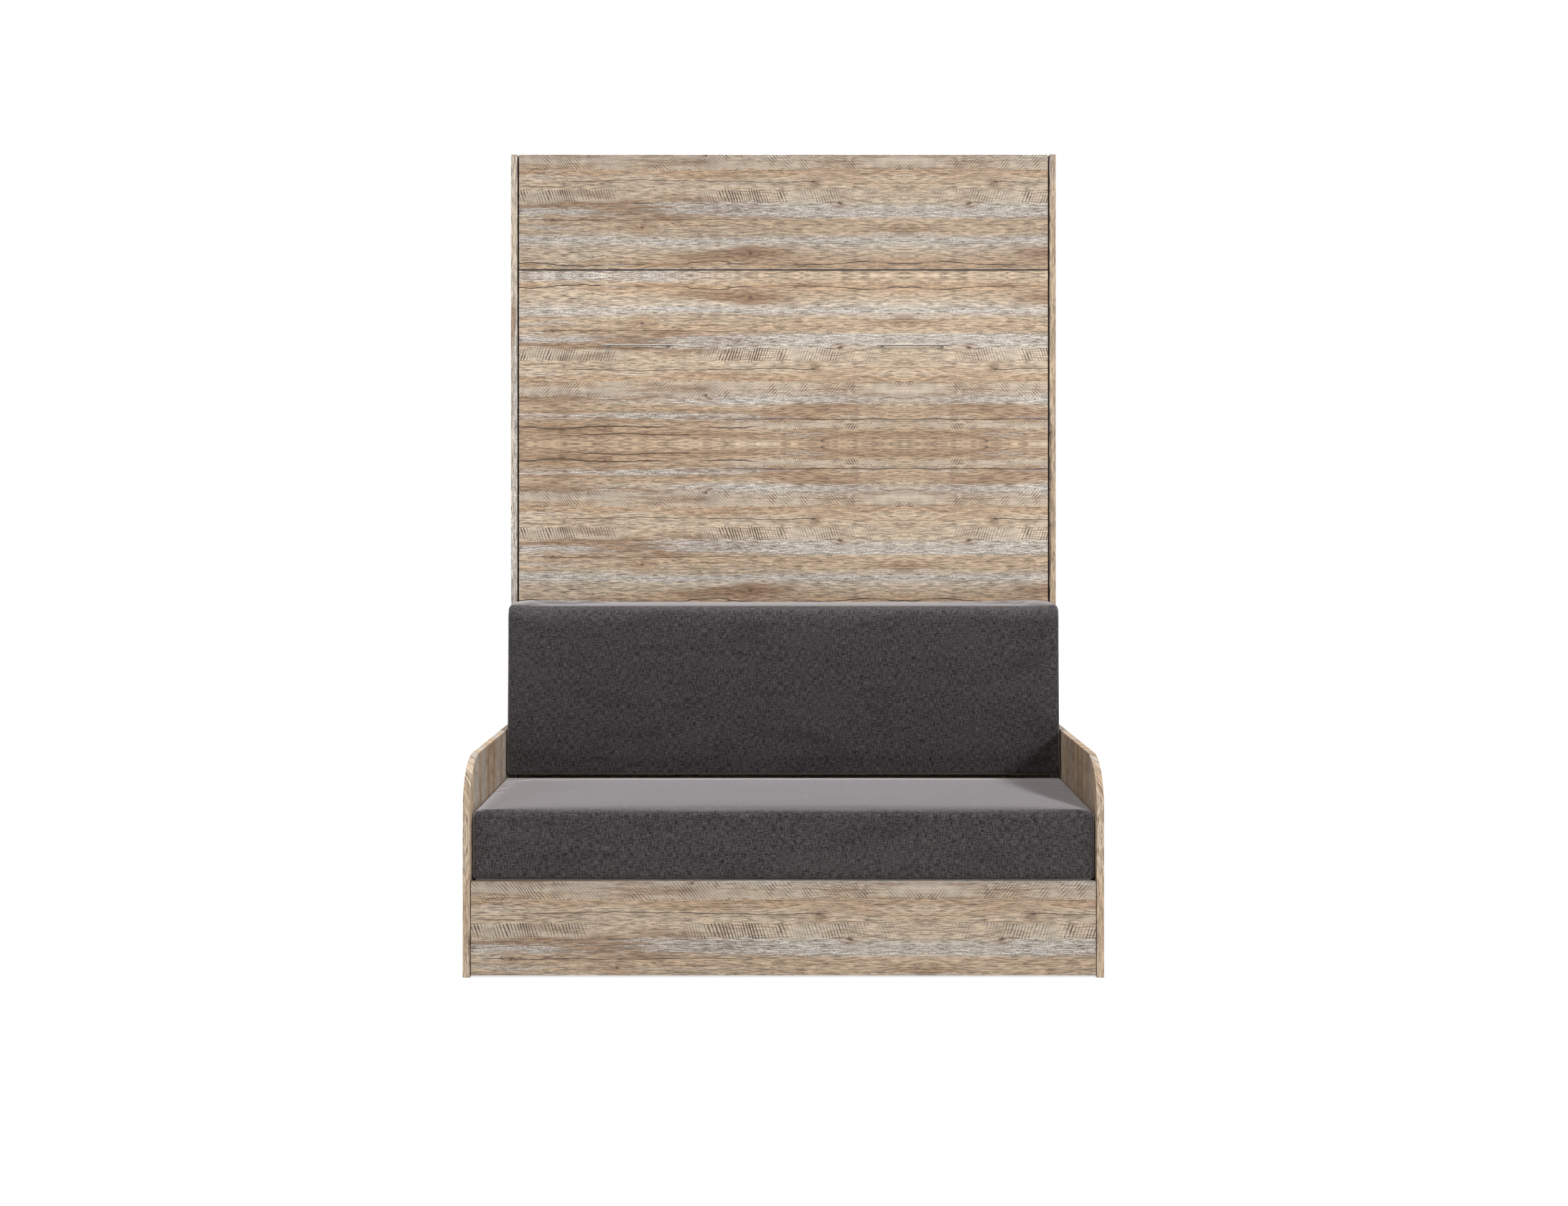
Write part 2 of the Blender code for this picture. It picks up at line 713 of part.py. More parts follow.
def make_seat(seat):
    """Seat unit: front panel, carcass, platform and cushion."""
    panel_half = inner_half - seat_panel_gap
    front = arm_front_y + seat_panel_setback
    behind = front + board
    board_piece("seat_front_panel", (-panel_half, panel_half), (front, behind),
                (seat_floor_gap, platform_top), carrier=seat)
    outer = panel_half - seat_side_inset
    rear = seat_rear_y + platform_rear_inset
    under = platform_top - board - touch
    for name, side in (("left", -1), ("right", 1)):
        x = sorted((side * (outer - board), side * outer))
        board_piece(f"seat_box_side_{name}", x, (behind + touch, rear), (seat_side_floor_gap, under),
                    "plain_board", seat)
    inside = (-(outer - board - touch), outer - board - touch)
    board_piece("seat_box_back", inside, (rear - board, rear), (seat_side_floor_gap, under),
                "plain_board", seat)
    board_piece("seat_box_bottom", inside, (behind + touch, rear - board - touch),
                (castor_height, castor_height + seat_bottom_thick), "plain_board", seat)
    board_piece("seat_platform", (-outer, outer), (behind + touch, rear), (platform_top - board, platform_top),
                "plain_board", seat)
    make_seat_cushion(seat)


def make_seat_cushion(seat):
    """Box cushion with a low crown and sides that draw in between the corners."""
    half = inner_half - seat_cushion_side_gap
    near = arm_front_y + seat_cushion_setback
    low = platform_top + touch

    def shape(u, v, w):
        crown = seat_cushion_crown * (1 - u ** 4) * (1 - v ** 4) if w > 0 else 0
        side_draw = cushion_draw * (1 - v * v)
        front_draw = cushion_draw * (1 - u ** 4)
        return Vector(((half - side_draw) * u, mix(near + front_draw, seat_rear_y - front_draw, v),
                       mix(low, seat_cushion_top, w) + crown))

    cushion = piece("seat_cushion", cushion_solid((12, 5, 2), shape), "charcoal_fabric", seat, smooth=True)
    bevel(cushion, seat_cushion_round, 3)


def castor_places():
    """Name and axle place of each castor."""
    outer = inner_half - seat_panel_gap - seat_side_inset - board
    ends = (("front", arm_front_y + seat_panel_setback + board + castor_end_inset),
            ("rear", seat_rear_y + platform_rear_inset - board - castor_end_inset))
    return [(f"{end}_{name}", Vector((side * (outer - castor_side_inset), y, roller_radius)))
            for end, y in ends for name, side in (("left", -1), ("right", 1))]


def make_fork(seat, name, place):
    """Steel castor fork: a plate with two cheeks and the axle across them."""
    half = roller_width / 2 + fork_play
    top = castor_height - touch
    low = top - fork_plate_thick
    fork = piece(f"castor_fork_{name}",
                 cuboid((place.x - fork_plate_width / 2, place.x + fork_plate_width / 2),
                        (place.y - fork_plate_length / 2, place.y + fork_plate_length / 2), (low, top)),
                 "zinc_steel", seat, smooth=True)
    wide = fork_plate_length / 2 - fork_plate_thick
    outline = [(place.y + wide, low + fork_plate_thick / 2), (place.y - wide, low + fork_plate_thick / 2)]
    outline += arc((place.y, place.z), fork_toe_radius, pi, 2 * pi, 8)
    for side in (-1, 1):
        x = (place.x + side * half, place.x + side * (half + fork_sheet))
        combine(fork, outline_solid(outline, x, along_x), "UNION")
    reach = half + fork_sheet + axle_head
    combine(fork, rod((place.x - reach, place.y, place.z), (place.x + reach, place.y, place.z), axle_radius),
            "UNION")
    return fork


def make_roller(carrier, name, place):
    """Castor roller with eased edges and a bore for the axle."""
    half, r, e = roller_width / 2, roller_radius, roller_edge
    bore = axle_radius + bore_clearance
    profile = [(bore, -half), (r - e, -half), (r, -half + e), (r, half - e), (r - e, half), (bore, half)]
    matrix = Matrix.Translation(place) @ Matrix.Rotation(pi / 2, 4, "Y")
    return piece(f"castor_roller_{name}", ring_solid(profile, matrix, 32), "grey_plastic", carrier,
                 smooth=True)


bed_pivot = pivot_empty("bed_pivot", (0, pivot_y, pivot_height))
foot_pivot = pivot_empty("foot_panel_pivot", (0, front_y, seam_z))
leg_slide = pivot_empty("leg_slide", (0, front_y, seam_z))
seat_slide = pivot_empty("seat_slide", (0, arm_front_y, 0))

make_cabinet()
make_sofa_frame()
make_seat_guides()
make_bed(bed_pivot)
make_foot_panel(bed_pivot, foot_pivot)
for leg_name, leg_side in (("left", -1), ("right", 1)):
    make_leg(leg_slide, leg_name, leg_side)
make_seat(seat_slide)
for castor_name, castor_place in castor_places():
    make_fork(seat_slide, castor_name, castor_place)
    axle = pivot_empty(f"axle_{castor_name}", castor_place)
    make_roller(axle, castor_name, castor_place)
for spring_name, spring_side in (("left", -1), ("right", 1)):
    anchor_place = (spring_side * spring_middle_x(), front_y + spring_anchor_back, spring_anchor_height)
    tube_pivot = pivot_empty(f"gas_tube_pivot_{spring_name}", anchor_place)
    rod_slide = pivot_empty(f"gas_rod_slide_{spring_name}", anchor_place)
    make_gas_spring(tube_pivot, rod_slide, spring_name, spring_side)

rest_line, rest_length = spring_line()
open_line, open_length = spring_open_line()
quarter_turn = pi / 2
print("bed pivot", round(pivot_y, 5), pivot_height, "front", front_y, "seam", seam_z)
print("seat ratio", seat_travel / quarter_turn, "roller ratio", seat_travel / roller_radius / quarter_turn)
print("leg travel", leg_travel(), "ratio", leg_travel() / quarter_turn)
print("spring anchor", spring_middle_x(), front_y + spring_anchor_back, spring_anchor_height)
print("spring line", tuple(rest_line), rest_length, "open", tuple(open_line), open_length)
print("spring swing ratio", (atan2(open_line.z, open_line.y) - atan2(rest_line.z, rest_line.y)) / quarter_turn)
print("spring stroke ratio", (rest_length - open_length) / quarter_turn)
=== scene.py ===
# %% [markdown]
# A wall bed with a sofa, dressed for its portrait.
#
# The object is a tall shallow cabinet whose whole front is the underside of a bed. A sofa
# stands before it: two board arms, a seat unit on castors, and a backrest that is fixed to
# the bed front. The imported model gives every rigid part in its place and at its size.
# This script never moves those parts. It adds what a camera sees: the printed oak decor,
# the woven cover of the cushions, the mattress, the straps, the screws, lamps and a floor.

from math import cos, pi, radians, sin

import bmesh
import bpy
from mathutils import Matrix, Vector
from mathutils.bvhtree import BVHTree


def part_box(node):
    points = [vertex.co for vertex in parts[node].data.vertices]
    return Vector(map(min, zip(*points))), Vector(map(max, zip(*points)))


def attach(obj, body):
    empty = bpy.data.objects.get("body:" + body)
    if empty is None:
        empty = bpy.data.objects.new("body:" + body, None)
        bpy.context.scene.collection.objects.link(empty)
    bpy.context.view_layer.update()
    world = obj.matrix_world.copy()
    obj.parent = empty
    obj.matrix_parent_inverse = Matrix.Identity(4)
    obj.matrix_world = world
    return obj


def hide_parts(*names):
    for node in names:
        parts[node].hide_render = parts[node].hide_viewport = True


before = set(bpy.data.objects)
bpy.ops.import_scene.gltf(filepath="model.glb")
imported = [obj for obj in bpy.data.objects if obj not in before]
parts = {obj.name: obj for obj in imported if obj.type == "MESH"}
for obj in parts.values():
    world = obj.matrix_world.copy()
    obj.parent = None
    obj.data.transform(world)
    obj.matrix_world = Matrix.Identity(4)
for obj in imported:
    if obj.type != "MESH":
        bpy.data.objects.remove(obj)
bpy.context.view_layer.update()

# %% [markdown]
# The camera comes first. The picture was taken level, from the front, a little over four
# metres away. Its horizon lies above the middle of the frame, which a shift lens gives
# without tilting, so uprights stay upright.

# %% Camera
photo_width = 2184
photo_height = 1680
photo_focal = 2100
photo_centre_x = 1091.2
photo_horizon_y = 698.5
film_width = 36
camera_distance = 4.373
camera_height = 1.173

front_face_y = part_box("bed_front_panel")[0].y
camera_data = bpy.data.cameras.new("portrait_camera")
camera_data.sensor_width = film_width
camera_data.lens = photo_focal / photo_width * film_width
camera_data.shift_x = (photo_width / 2 - photo_centre_x) / photo_width
camera_data.shift_y = (photo_horizon_y - photo_height / 2) / photo_width
camera = bpy.data.objects.new("portrait_camera", camera_data)
camera.location = (0, front_face_y - camera_distance, camera_height)
camera.rotation_euler = (pi / 2, 0, 0)
bpy.context.collection.objects.link(camera)
bpy.context.scene.camera = camera
bpy.context.scene.view_settings.view_transform = "Standard"
print(f"lens {camera_data.lens:.2f} mm, shift {camera_data.shift_y:.4f}")

# %% [markdown]
# A finish is a small program of nodes. Writing each node by hand hides the idea behind the
# wiring, so this cell makes a short vocabulary first: a sum, a noise, a soft-edged band, a
# mix of two colours. The finishes below then read almost like recipes.

# %% A short vocabulary for finishes
def paint(red, green, blue):
    """A screen colour from 0 to 255, as the linear colour that a shader wants."""
    shares = [value / 255 for value in (red, green, blue)]
    linear = [s / 12.92 if s <= 0.04045 else ((s + 0.055) / 1.055) ** 2.4 for s in shares]
    return (*linear, 1.0)


class Finish:
    """A material, with short ways to add nodes and join them."""

    def __init__(self, name, roughness, metallic=0.0):
        self.material = bpy.data.materials.new(name)
        self.material.use_nodes = True
        tree = self.material.node_tree
        self.nodes = tree.nodes
        self.links = tree.links
        self.shader = tree.nodes["Principled BSDF"]
        self.shader.inputs["Roughness"].default_value = roughness
        self.shader.inputs["Metallic"].default_value = metallic

    def feed(self, socket, value):
        """Join a socket to another node's output, or give it a plain value."""
        if isinstance(value, bpy.types.NodeSocket):
            self.links.new(value, socket)
        else:
            socket.default_value = value

    def math(self, operation, first, second=0.0):
        """One sum of one or two values."""
        node = self.nodes.new("ShaderNodeMath")
        node.operation = operation
        for socket, value in zip(node.inputs, (first, second)):
            self.feed(socket, value)
        return node.outputs[0]

    def add(self, first, second):
        return self.math("ADD", first, second)

    def minus(self, first, second):
        return self.math("SUBTRACT", first, second)

    def times(self, first, second):
        return self.math("MULTIPLY", first, second)

    def place(self):
        """The point's x, y and z in its object's own frame, in metres."""
        source = self.nodes.new("ShaderNodeTexCoord")
        split = self.nodes.new("ShaderNodeSeparateXYZ")
        self.links.new(source.outputs["Object"], split.inputs[0])
        return split.outputs[0], split.outputs[1], split.outputs[2]

    def noise(self, a, b, detail=2.0, roughness=0.5, seed=0.0):
        """Cloudy noise over two coordinates that are already scaled, from 0 to 1."""
        point = self.nodes.new("ShaderNodeCombineXYZ")
        for socket, value in zip(point.inputs, (a, b, seed)):
            self.feed(socket, value)
        node = self.nodes.new("ShaderNodeTexNoise")
        node.inputs["Scale"].default_value = 1.0
        node.inputs["Detail"].default_value = detail
        node.inputs["Roughness"].default_value = roughness
        self.links.new(point.outputs[0], node.inputs["Vector"])
        return node.outputs["Fac"]

    def spread(self, value, low, high, to_low=0.0, to_high=1.0):
        """Stretch a range onto another, with soft ends."""
        node = self.nodes.new("ShaderNodeMapRange")
        node.interpolation_type = "SMOOTHSTEP"
        for socket, given in zip(node.inputs, (value, low, high, to_low, to_high)):
            self.feed(socket, given)
        return node.outputs[0]

    def band(self, value, low, high, soft):
        """1 between two limits, falling to 0 over a soft edge outside them."""
        off_centre = self.math("ABSOLUTE", self.minus(value, (low + high) / 2))
        half = (high - low) / 2
        return self.spread(off_centre, half, half + soft, 1.0, 0.0)

    def most(self, values):
        """The largest of several masks."""
        total = values[0]
        for value in values[1:]:
            total = self.math("MAXIMUM", total, value)
        return total

    def mix(self, share, under, over, mode="MIX"):
        """Lay one colour over another, by a share from 0 to 1."""
        node = self.nodes.new("ShaderNodeMix")
        node.data_type = "RGBA"
        node.blend_type = mode
        self.feed(node.inputs["Factor"], share)
        self.feed(node.inputs["A"], under)
        self.feed(node.inputs["B"], over)
        return node.outputs["Result"]

    def ramp(self, value, stops):
        """Colours in a row, picked by a value from 0 to 1."""
        node = self.nodes.new("ShaderNodeValToRGB")
        points = node.color_ramp.elements
        while len(points) < len(stops):
            points.new(0.5)
        for point, (share, colour) in zip(points, stops):
            point.position = share
            point.color = colour
        self.feed(node.inputs["Fac"], value)
        return node.outputs["Color"]

    def colour(self, value):
        self.feed(self.shader.inputs["Base Color"], value)

    def rough(self, value):
        self.feed(self.shader.inputs["Roughness"], value)

    def bump(self, height, depth, strength=1.0):
        """Turn a height from 0 to 1 into relief of that depth, in metres."""
        node = self.nodes.new("ShaderNodeBump")
        node.inputs["Strength"].default_value = strength
        node.inputs["Distance"].default_value = depth
        self.feed(node.inputs["Height"], height)
        self.links.new(node.outputs["Normal"], self.shader.inputs["Normal"])


print("vocabulary ready")

# %% [markdown]
# The background of the picture is plain white. Here the world is white only to rays that
# come straight from the camera or by way of a mirror or glass, and a soft grey to light
# itself, so that the dark cushions aren't washed out by a bright room.

# %% World
world = bpy.data.worlds.new("white_room")
bpy.context.scene.world = world
world.use_nodes = True
world_nodes = world.node_tree.nodes
world_links = world.node_tree.links
world_light = 0.30

seen = world_nodes["Background"]
seen.inputs["Color"].default_value = (1, 1, 1, 1)
seen.inputs["Strength"].default_value = 1.0
lighting = world_nodes.new("ShaderNodeBackground")
lighting.inputs["Color"].default_value = (1, 1, 1, 1)
lighting.inputs["Strength"].default_value = world_light


def seen_ray(nodes, links):
    """1 for rays from the camera, from gloss and through glass, else 0."""
    path = nodes.new("ShaderNodeLightPath")
    total = path.outputs["Is Camera Ray"]
    for name in ("Is Glossy Ray", "Is Transmission Ray"):
        larger = nodes.new("ShaderNodeMath")
        larger.operation = "MAXIMUM"
        links.new(total, larger.inputs[0])
        links.new(path.outputs[name], larger.inputs[1])
        total = larger.outputs[0]
    return total


world_choice = world_nodes.new("ShaderNodeMixShader")
world_links.new(seen_ray(world_nodes, world_links), world_choice.inputs[0])
world_links.new(lighting.outputs[0], world_choice.inputs[1])
world_links.new(seen.outputs[0], world_choice.inputs[2])
world_links.new(world_choice.outputs[0], world_nodes["World Output"].inputs["Surface"])
print("world ready")

# %% [markdown]
# The floor is one large plain sheet just below the object, in a pale matt white that takes
# the soft shadow. It also glows, but only for rays that come from the camera or by way of a
# reflection. So its far end meets the background without a line, and the glow adds no soft
# light from below.

# %% Floor
floor_size = 14
floor_drop = 0.0005
floor_lift = 0.62

floor_mesh = bpy.data.meshes.new("floor")
floor_bm = bmesh.new()
bmesh.ops.create_grid(floor_bm, x_segments=1, y_segments=1, size=floor_size / 2)
floor_bm.to_mesh(floor_mesh)
floor_bm.free()
floor = bpy.data.objects.new("floor", floor_mesh)
floor.location = (0, 0, -floor_drop)
bpy.context.collection.objects.link(floor)
floor_finish = Finish("floor_white", 0.8)
floor_finish.colour(paint(232, 232, 230))
floor_finish.shader.inputs["Emission Color"].default_value = (1, 1, 1, 1)
floor_seen = seen_ray(floor_finish.nodes, floor_finish.links)
floor_glow = floor_finish.times(floor_seen, floor_lift)
floor_finish.feed(floor_finish.shader.inputs["Emission Strength"], floor_glow)
floor_mesh.materials.append(floor_finish.material)
print("floor ready")

# %% [markdown]
# One lamp draws the forms. In the picture the right arm throws a slanting shadow on the
# lower right of the backrest, which tells where it stands: in front and to the right. The
# tall front is lit almost evenly, so it stands far off, about twice as high as the cabinet.
# A long lamp overhead lights the seat and the top of the backrest, and a weak one on the
# left opens the shadows.

# %% Lamps
def lamp(name, place, target, size, power):
    """A soft lamp with a flat rectangular face that looks at a point."""
    data = bpy.data.lights.new(name, "AREA")
    data.shape = "RECTANGLE"
    data.size, data.size_y = size
    data.energy = power
    obj = bpy.data.objects.new(name, data)
    obj.location = place
    obj.rotation_euler = (Vector(target) - Vector(place)).to_track_quat("-Z", "Y").to_euler()
    bpy.context.collection.objects.link(obj)


lamp("key_right", (5.8, -9.0, 4.3), (0, 0, 0.9), (1.4, 1.4), 580)
lamp("overhead", (0, -0.35, 5.8), (0, -0.35, 0.4), (3.0, 0.6), 330)
lamp("fill_left", (-3.4, -4.0, 1.8), (0, 0, 1.0), (2.0, 2.0), 18)
print("three lamps")

# %% [markdown]
# The decor is a print of old sawn oak on board. It repeats: the printed sheet is folded
# open like a book, so the grain meets its own mirror image on a line just under the seam
# and on an upright line right of the middle. Two coordinates carry the whole pattern:
# "along" runs with the grain and "across" climbs over it, and folding them gives the mirror
# images for nothing. Broad tones come first, then fibres, then what makes this decor easy
# to recognise: rows of slanting saw marks, limed white streaks, long cracks and knots.

# %% What is printed in one sheet of the decor
sheet_height = 0.489
fold_line_x = 0.351
fold_line_z = 1.8286

limed = paint(206, 194, 180)
pale = paint(203, 182, 157)
tan = paint(194, 169, 141)
warm = paint(191, 160, 128)
brown = paint(172, 144, 116)

tone_stops = (
    (0.00, pale), (0.06, warm), (0.13, pale), (0.20, limed), (0.27, tan), (0.33, tan),
    (0.37, limed), (0.45, pale), (0.53, pale), (0.60, warm), (0.66, tan), (0.73, limed),
    (0.78, tan), (0.86, brown), (0.90, tan), (0.95, brown), (1.00, tan),
)
saw_mark_rows = (
    {"across": (0.213, 0.246), "along": ((0.88, 1.25), (0.13, 0.53)), "slant": 0.32, "pitch": 0.0080,
     "depth": 1.0},
    {"across": (0.309, 0.350), "along": ((0.29, 1.25), (0.00, 0.17)), "slant": 0.80, "pitch": 0.0088,
     "depth": 0.80},
    {"across": (0.426, 0.441), "along": ((0.11, 0.46),), "slant": 0.60, "pitch": 0.0075, "depth": 0.9},
)
limed_streaks = (
    {"across": (0.002, 0.014), "along": (0.62, 1.25)},
    {"across": (0.096, 0.106), "along": (-0.10, 1.25)},
    {"across": (0.178, 0.190), "along": (0.94, 1.25)},
    {"across": (0.174, 0.204), "along": (0.00, 0.62)},
    {"across": (0.352, 0.366), "along": (0.15, 0.60)},
    {"across": (0.404, 0.412), "along": (0.45, 1.10)},
)
cracks = (
    {"across": 0.033, "along": (-0.10, 1.25), "wander": 0.024, "width": 0.0021},
    {"across": 0.160, "along": (0.50, 1.05), "wander": 0.012, "width": 0.0013},
    {"across": 0.272, "along": (0.30, 0.95), "wander": 0.016, "width": 0.0013},
    {"across": 0.417, "along": (-0.10, 0.48), "wander": 0.010, "width": 0.0018},
    {"across": 0.440, "along": (0.46, 1.10), "wander": 0.018, "width": 0.0024},
    {"across": 0.462, "along": (0.55, 0.98), "wander": 0.014, "width": 0.0020},
)
knots = ((0.447, 0.0635), (0.264, 0.272), (1.020, 0.161), (0.576, 0.347), (0.760, 0.139),
         (0.239, 0.480), (0.187, 0.211), (0.870, 0.440))
knot_half_length = 0.0085
knot_half_height = 0.0048
print(f"{len(saw_mark_rows)} rows of saw marks, {len(knots)} knots")

# %% The grain of the oak
def grain_of(f, along, across):
    """Bend the grain in slow waves and round each knot. Gives it back with knot masks."""
    waves = f.noise(f.times(along, 1.7), f.times(across, 7.0), detail=2)
    warped = f.add(across, f.times(f.minus(waves, 0.5), 0.032))
    cores, halos = [], []
    for knot_along, knot_across in knots:
        reach = f.math("DIVIDE", f.minus(along, knot_along), knot_half_length)
        rise = f.math("DIVIDE", f.minus(across, knot_across), knot_half_height)
        gap = f.math("SQRT", f.add(f.times(reach, reach), f.times(rise, rise)))
        ragged = f.add(gap, f.times(f.noise(f.times(along, 150), f.times(across, 420)), 2.4))
        cores.append(f.spread(ragged, 1.5, 2.3, 1.0, 0.0))
        halo = f.spread(gap, 0.6, 8.0, 1.0, 0.0)
        halos.append(halo)
        warped = f.minus(warped, f.times(halo, f.times(f.minus(across, knot_across), 0.6)))
    return warped, f.most(cores), f.most(halos)


def saw_marks_of(f, along, across):
    """Rows of slanting strokes with ragged ends, and the scraped bed that they lie on."""
    marks, beds = [], []
    end_noise = f.noise(f.times(along, 90), 3.0, detail=1, seed=2.5)
    ragged = f.add(across, f.times(f.minus(end_noise, 0.5), 0.018))
    drift = f.noise(f.times(along, 13), 1.0, detail=2, seed=2.2)
    scrape = f.noise(f.times(along, 5), f.times(across, 40), detail=2, seed=3.3)
    scraped = f.spread(scrape, 0.38, 0.62, 0.15, 1.0)
    uneven = f.spread(f.noise(f.times(along, 11), f.times(across, 16), seed=6.1), 0.36, 0.56, 0.30, 1.0)
    width = f.noise(f.times(along, 45), f.times(across, 22), detail=2, seed=6.6)
    for row in saw_mark_rows:
        run = f.most([f.band(along, low, high, 0.11) for low, high in row["along"]])
        bed = f.times(f.band(ragged, *row["across"], 0.003), run)
        slanted = f.minus(along, f.times(across, row["slant"]))
        phase = f.add(f.math("DIVIDE", slanted, row["pitch"]), f.times(drift, 3.4))
        wave = f.math("PINGPONG", phase, 0.5)
        edge = f.minus(wave, f.times(f.minus(width, 0.5), 0.70))
        tooth = f.spread(edge, 0.09, 0.18, 1.0, 0.0)
        beds.append(f.times(bed, scraped))
        marks.append(f.times(f.times(tooth, bed), f.times(uneven, row["depth"])))
    return f.most(beds), f.most(marks)


def cracks_of(f, along, across):
    """Long thin cracks that wander and break off."""
    slits = []
    for number, crack in enumerate(cracks):
        bend = f.noise(f.times(along, 4.5), float(number) * 4.0, detail=6, roughness=0.58, seed=8.8)
        middle = f.add(f.times(f.minus(bend, 0.5), crack["wander"] * 2), crack["across"])
        off = f.math("ABSOLUTE", f.minus(across, middle))
        slit = f.spread(off, crack["width"] * 0.35, crack["width"], 1.0, 0.0)
        run = f.band(along, *crack["along"], 0.06)
        gaps = f.noise(f.times(along, 9.0), float(number), detail=3, seed=4.4)
        broken = f.spread(gaps, 0.34, 0.46, 0.2, 1.0)
        slits.append(f.times(slit, f.times(run, broken)))
    return f.most(slits)


def limed_cover_of(f, along, warped, streaks, fibres):
    """White lime left in streaks, thin where the fibres stand up."""
    rough_along = f.add(along, f.times(f.minus(streaks, 0.5), 0.9))
    rough_across = f.add(warped, f.times(f.minus(fibres, 0.5), 0.020))
    patches = [f.times(f.band(rough_across, *streak["across"], 0.010),
                       f.band(rough_along, *streak["along"], 0.08))
               for streak in limed_streaks]
    stray = f.spread(f.noise(f.times(along, 2.6), f.times(warped, 30.0), detail=4, seed=5.5), 0.58, 0.70)
    cover = f.math("MAXIMUM", f.most(patches), f.times(stray, 0.8))
    return f.times(cover, f.spread(f.add(streaks, fibres), 0.80, 1.15, 1.0, 0.35))


print("grain, saw marks, cracks and lime ready")

# %% [markdown]
# Now the recipe itself, from broad to fine: the tones of the sheet, light and dark growth
# bands, streaks, lime, specks, fibres and short dark pores, then the saw marks and cracks on
# top. One recipe serves every board. A board only says which way its grain runs, how far its
# print is moved, since no two boards were cut from the same place, and how much it is darkened.
# On the seat front that darkening is painted shade, as the board stands in shade below the seat
# cushion. The top panel, the arms and the right side are simply drawn darker than the rest.
# The board edges beside the fold in the front get a narrow near-black band of painted shade,
# as the gap of the seam there lies in shade.

# %% The oak finish
def oak_finish(name, grain, shift=0.0, tone_and_shade=0.94, seam_shade=0.0):
    """Printed oak, grain along x or z. shift moves the print across the grain, tone darkens the board, as
    painted shade on the seat front.
    Upright boards come from a part of the sheet without saw marks. At 1 the seam factor paints shade in a
    near-black band along the fold seam."""
    f = Finish(name, 0.55)
    x, y, z = f.place()
    if grain == "x":
        along = f.math("ABSOLUTE", f.minus(x, fold_line_x))
        raw = f.add(f.minus(z, fold_line_z - shift), f.minus(y, front_face_y))
    else:
        along = f.math("ABSOLUTE", f.minus(z, fold_line_x))
        raw = f.add(f.add(y, x), shift)
    across = f.math("PINGPONG", raw, sheet_height)
    warped, core, halo = grain_of(f, along, across)

    broad = f.noise(f.times(along, 1.8), f.times(warped, 13.0), detail=4, roughness=0.55, seed=3.1)
    streaks = f.noise(f.times(along, 3.4), f.times(warped, 150.0), detail=4, roughness=0.66, seed=7.7)
    fibres = f.noise(f.times(along, 30.0), f.times(warped, 480.0), detail=2, roughness=0.7, seed=1.3)
    dashes = f.noise(f.times(along, 38.0), f.times(warped, 520.0), detail=2, seed=9.2)
    grit = f.noise(f.times(along, 210.0), f.times(warped, 460.0), detail=1, seed=5.9)

    colour = f.ramp(f.math("DIVIDE", warped, sheet_height), tone_stops)
    colour = f.mix(f.spread(broad, 0.51, 0.64, 0.0, 0.85), colour, paint(150, 119, 90))
    colour = f.mix(f.spread(broad, 0.47, 0.34, 0.0, 0.60), colour, paint(212, 195, 172))
    colour = f.mix(f.spread(streaks, 0.52, 0.72, 0.0, 0.65), colour, paint(132, 102, 74))
    colour = f.mix(f.spread(streaks, 0.46, 0.28, 0.0, 0.35), colour, paint(214, 200, 181))
    lime = limed_cover_of(f, along, warped, streaks, fibres)
    colour = f.mix(f.times(lime, 0.85), colour, paint(209, 205, 200))
    speck = f.times(f.spread(grit, 0.50, 0.64), f.add(f.times(lime, 0.60), 0.22))
    colour = f.mix(speck, colour, paint(122, 104, 90))
    colour = f.mix(1.0, colour, f.spread(fibres, 0.36, 0.64, 1.34, 0.52), "MULTIPLY")
    colour = f.mix(f.spread(dashes, 0.58, 0.66, 0.0, 0.85), colour, paint(92, 68, 48))
    colour = f.mix(f.times(halo, 0.40), colour, paint(130, 98, 72))

    mark = 0.0
    if grain == "x":
        bed, mark = saw_marks_of(f, along, across)
        colour = f.mix(f.times(bed, 0.55), colour, paint(214, 202, 186))
        colour = f.mix(f.times(mark, 0.95), colour, paint(76, 53, 36))
    slit = cracks_of(f, along, across)
    colour = f.mix(slit, colour, paint(52, 37, 28))
    colour = f.mix(f.times(core, 0.85), colour, paint(66, 48, 38))
    # Darken the whole board. On the seat front this darkening is painted shade.
    colour = f.mix(1.0, colour, (tone_and_shade, tone_and_shade, tone_and_shade, 1), "MULTIPLY")
    # Painted shade: a narrow near-black band on the board edges along the fold, where the gap of the seam
    # lies in shade.
    painted_seam_shade = f.band(z, seam_low - seam_shade_reach, seam_high + seam_shade_reach, seam_shade_fade)
    colour = f.mix(f.times(painted_seam_shade, seam_shade), colour, paint(22, 18, 16))

    f.colour(colour)
    f.rough(f.spread(fibres, 0.3, 0.7, 0.50, 0.64))
    relief = f.minus(1.0, f.times(f.spread(fibres, 0.5, 0.75), 0.35))
    relief = f.minus(relief, f.times(mark, 0.4))
    relief = f.minus(relief, f.math("MAXIMUM", slit, core))
    f.bump(relief, 0.0004, 0.6)
    return f.material


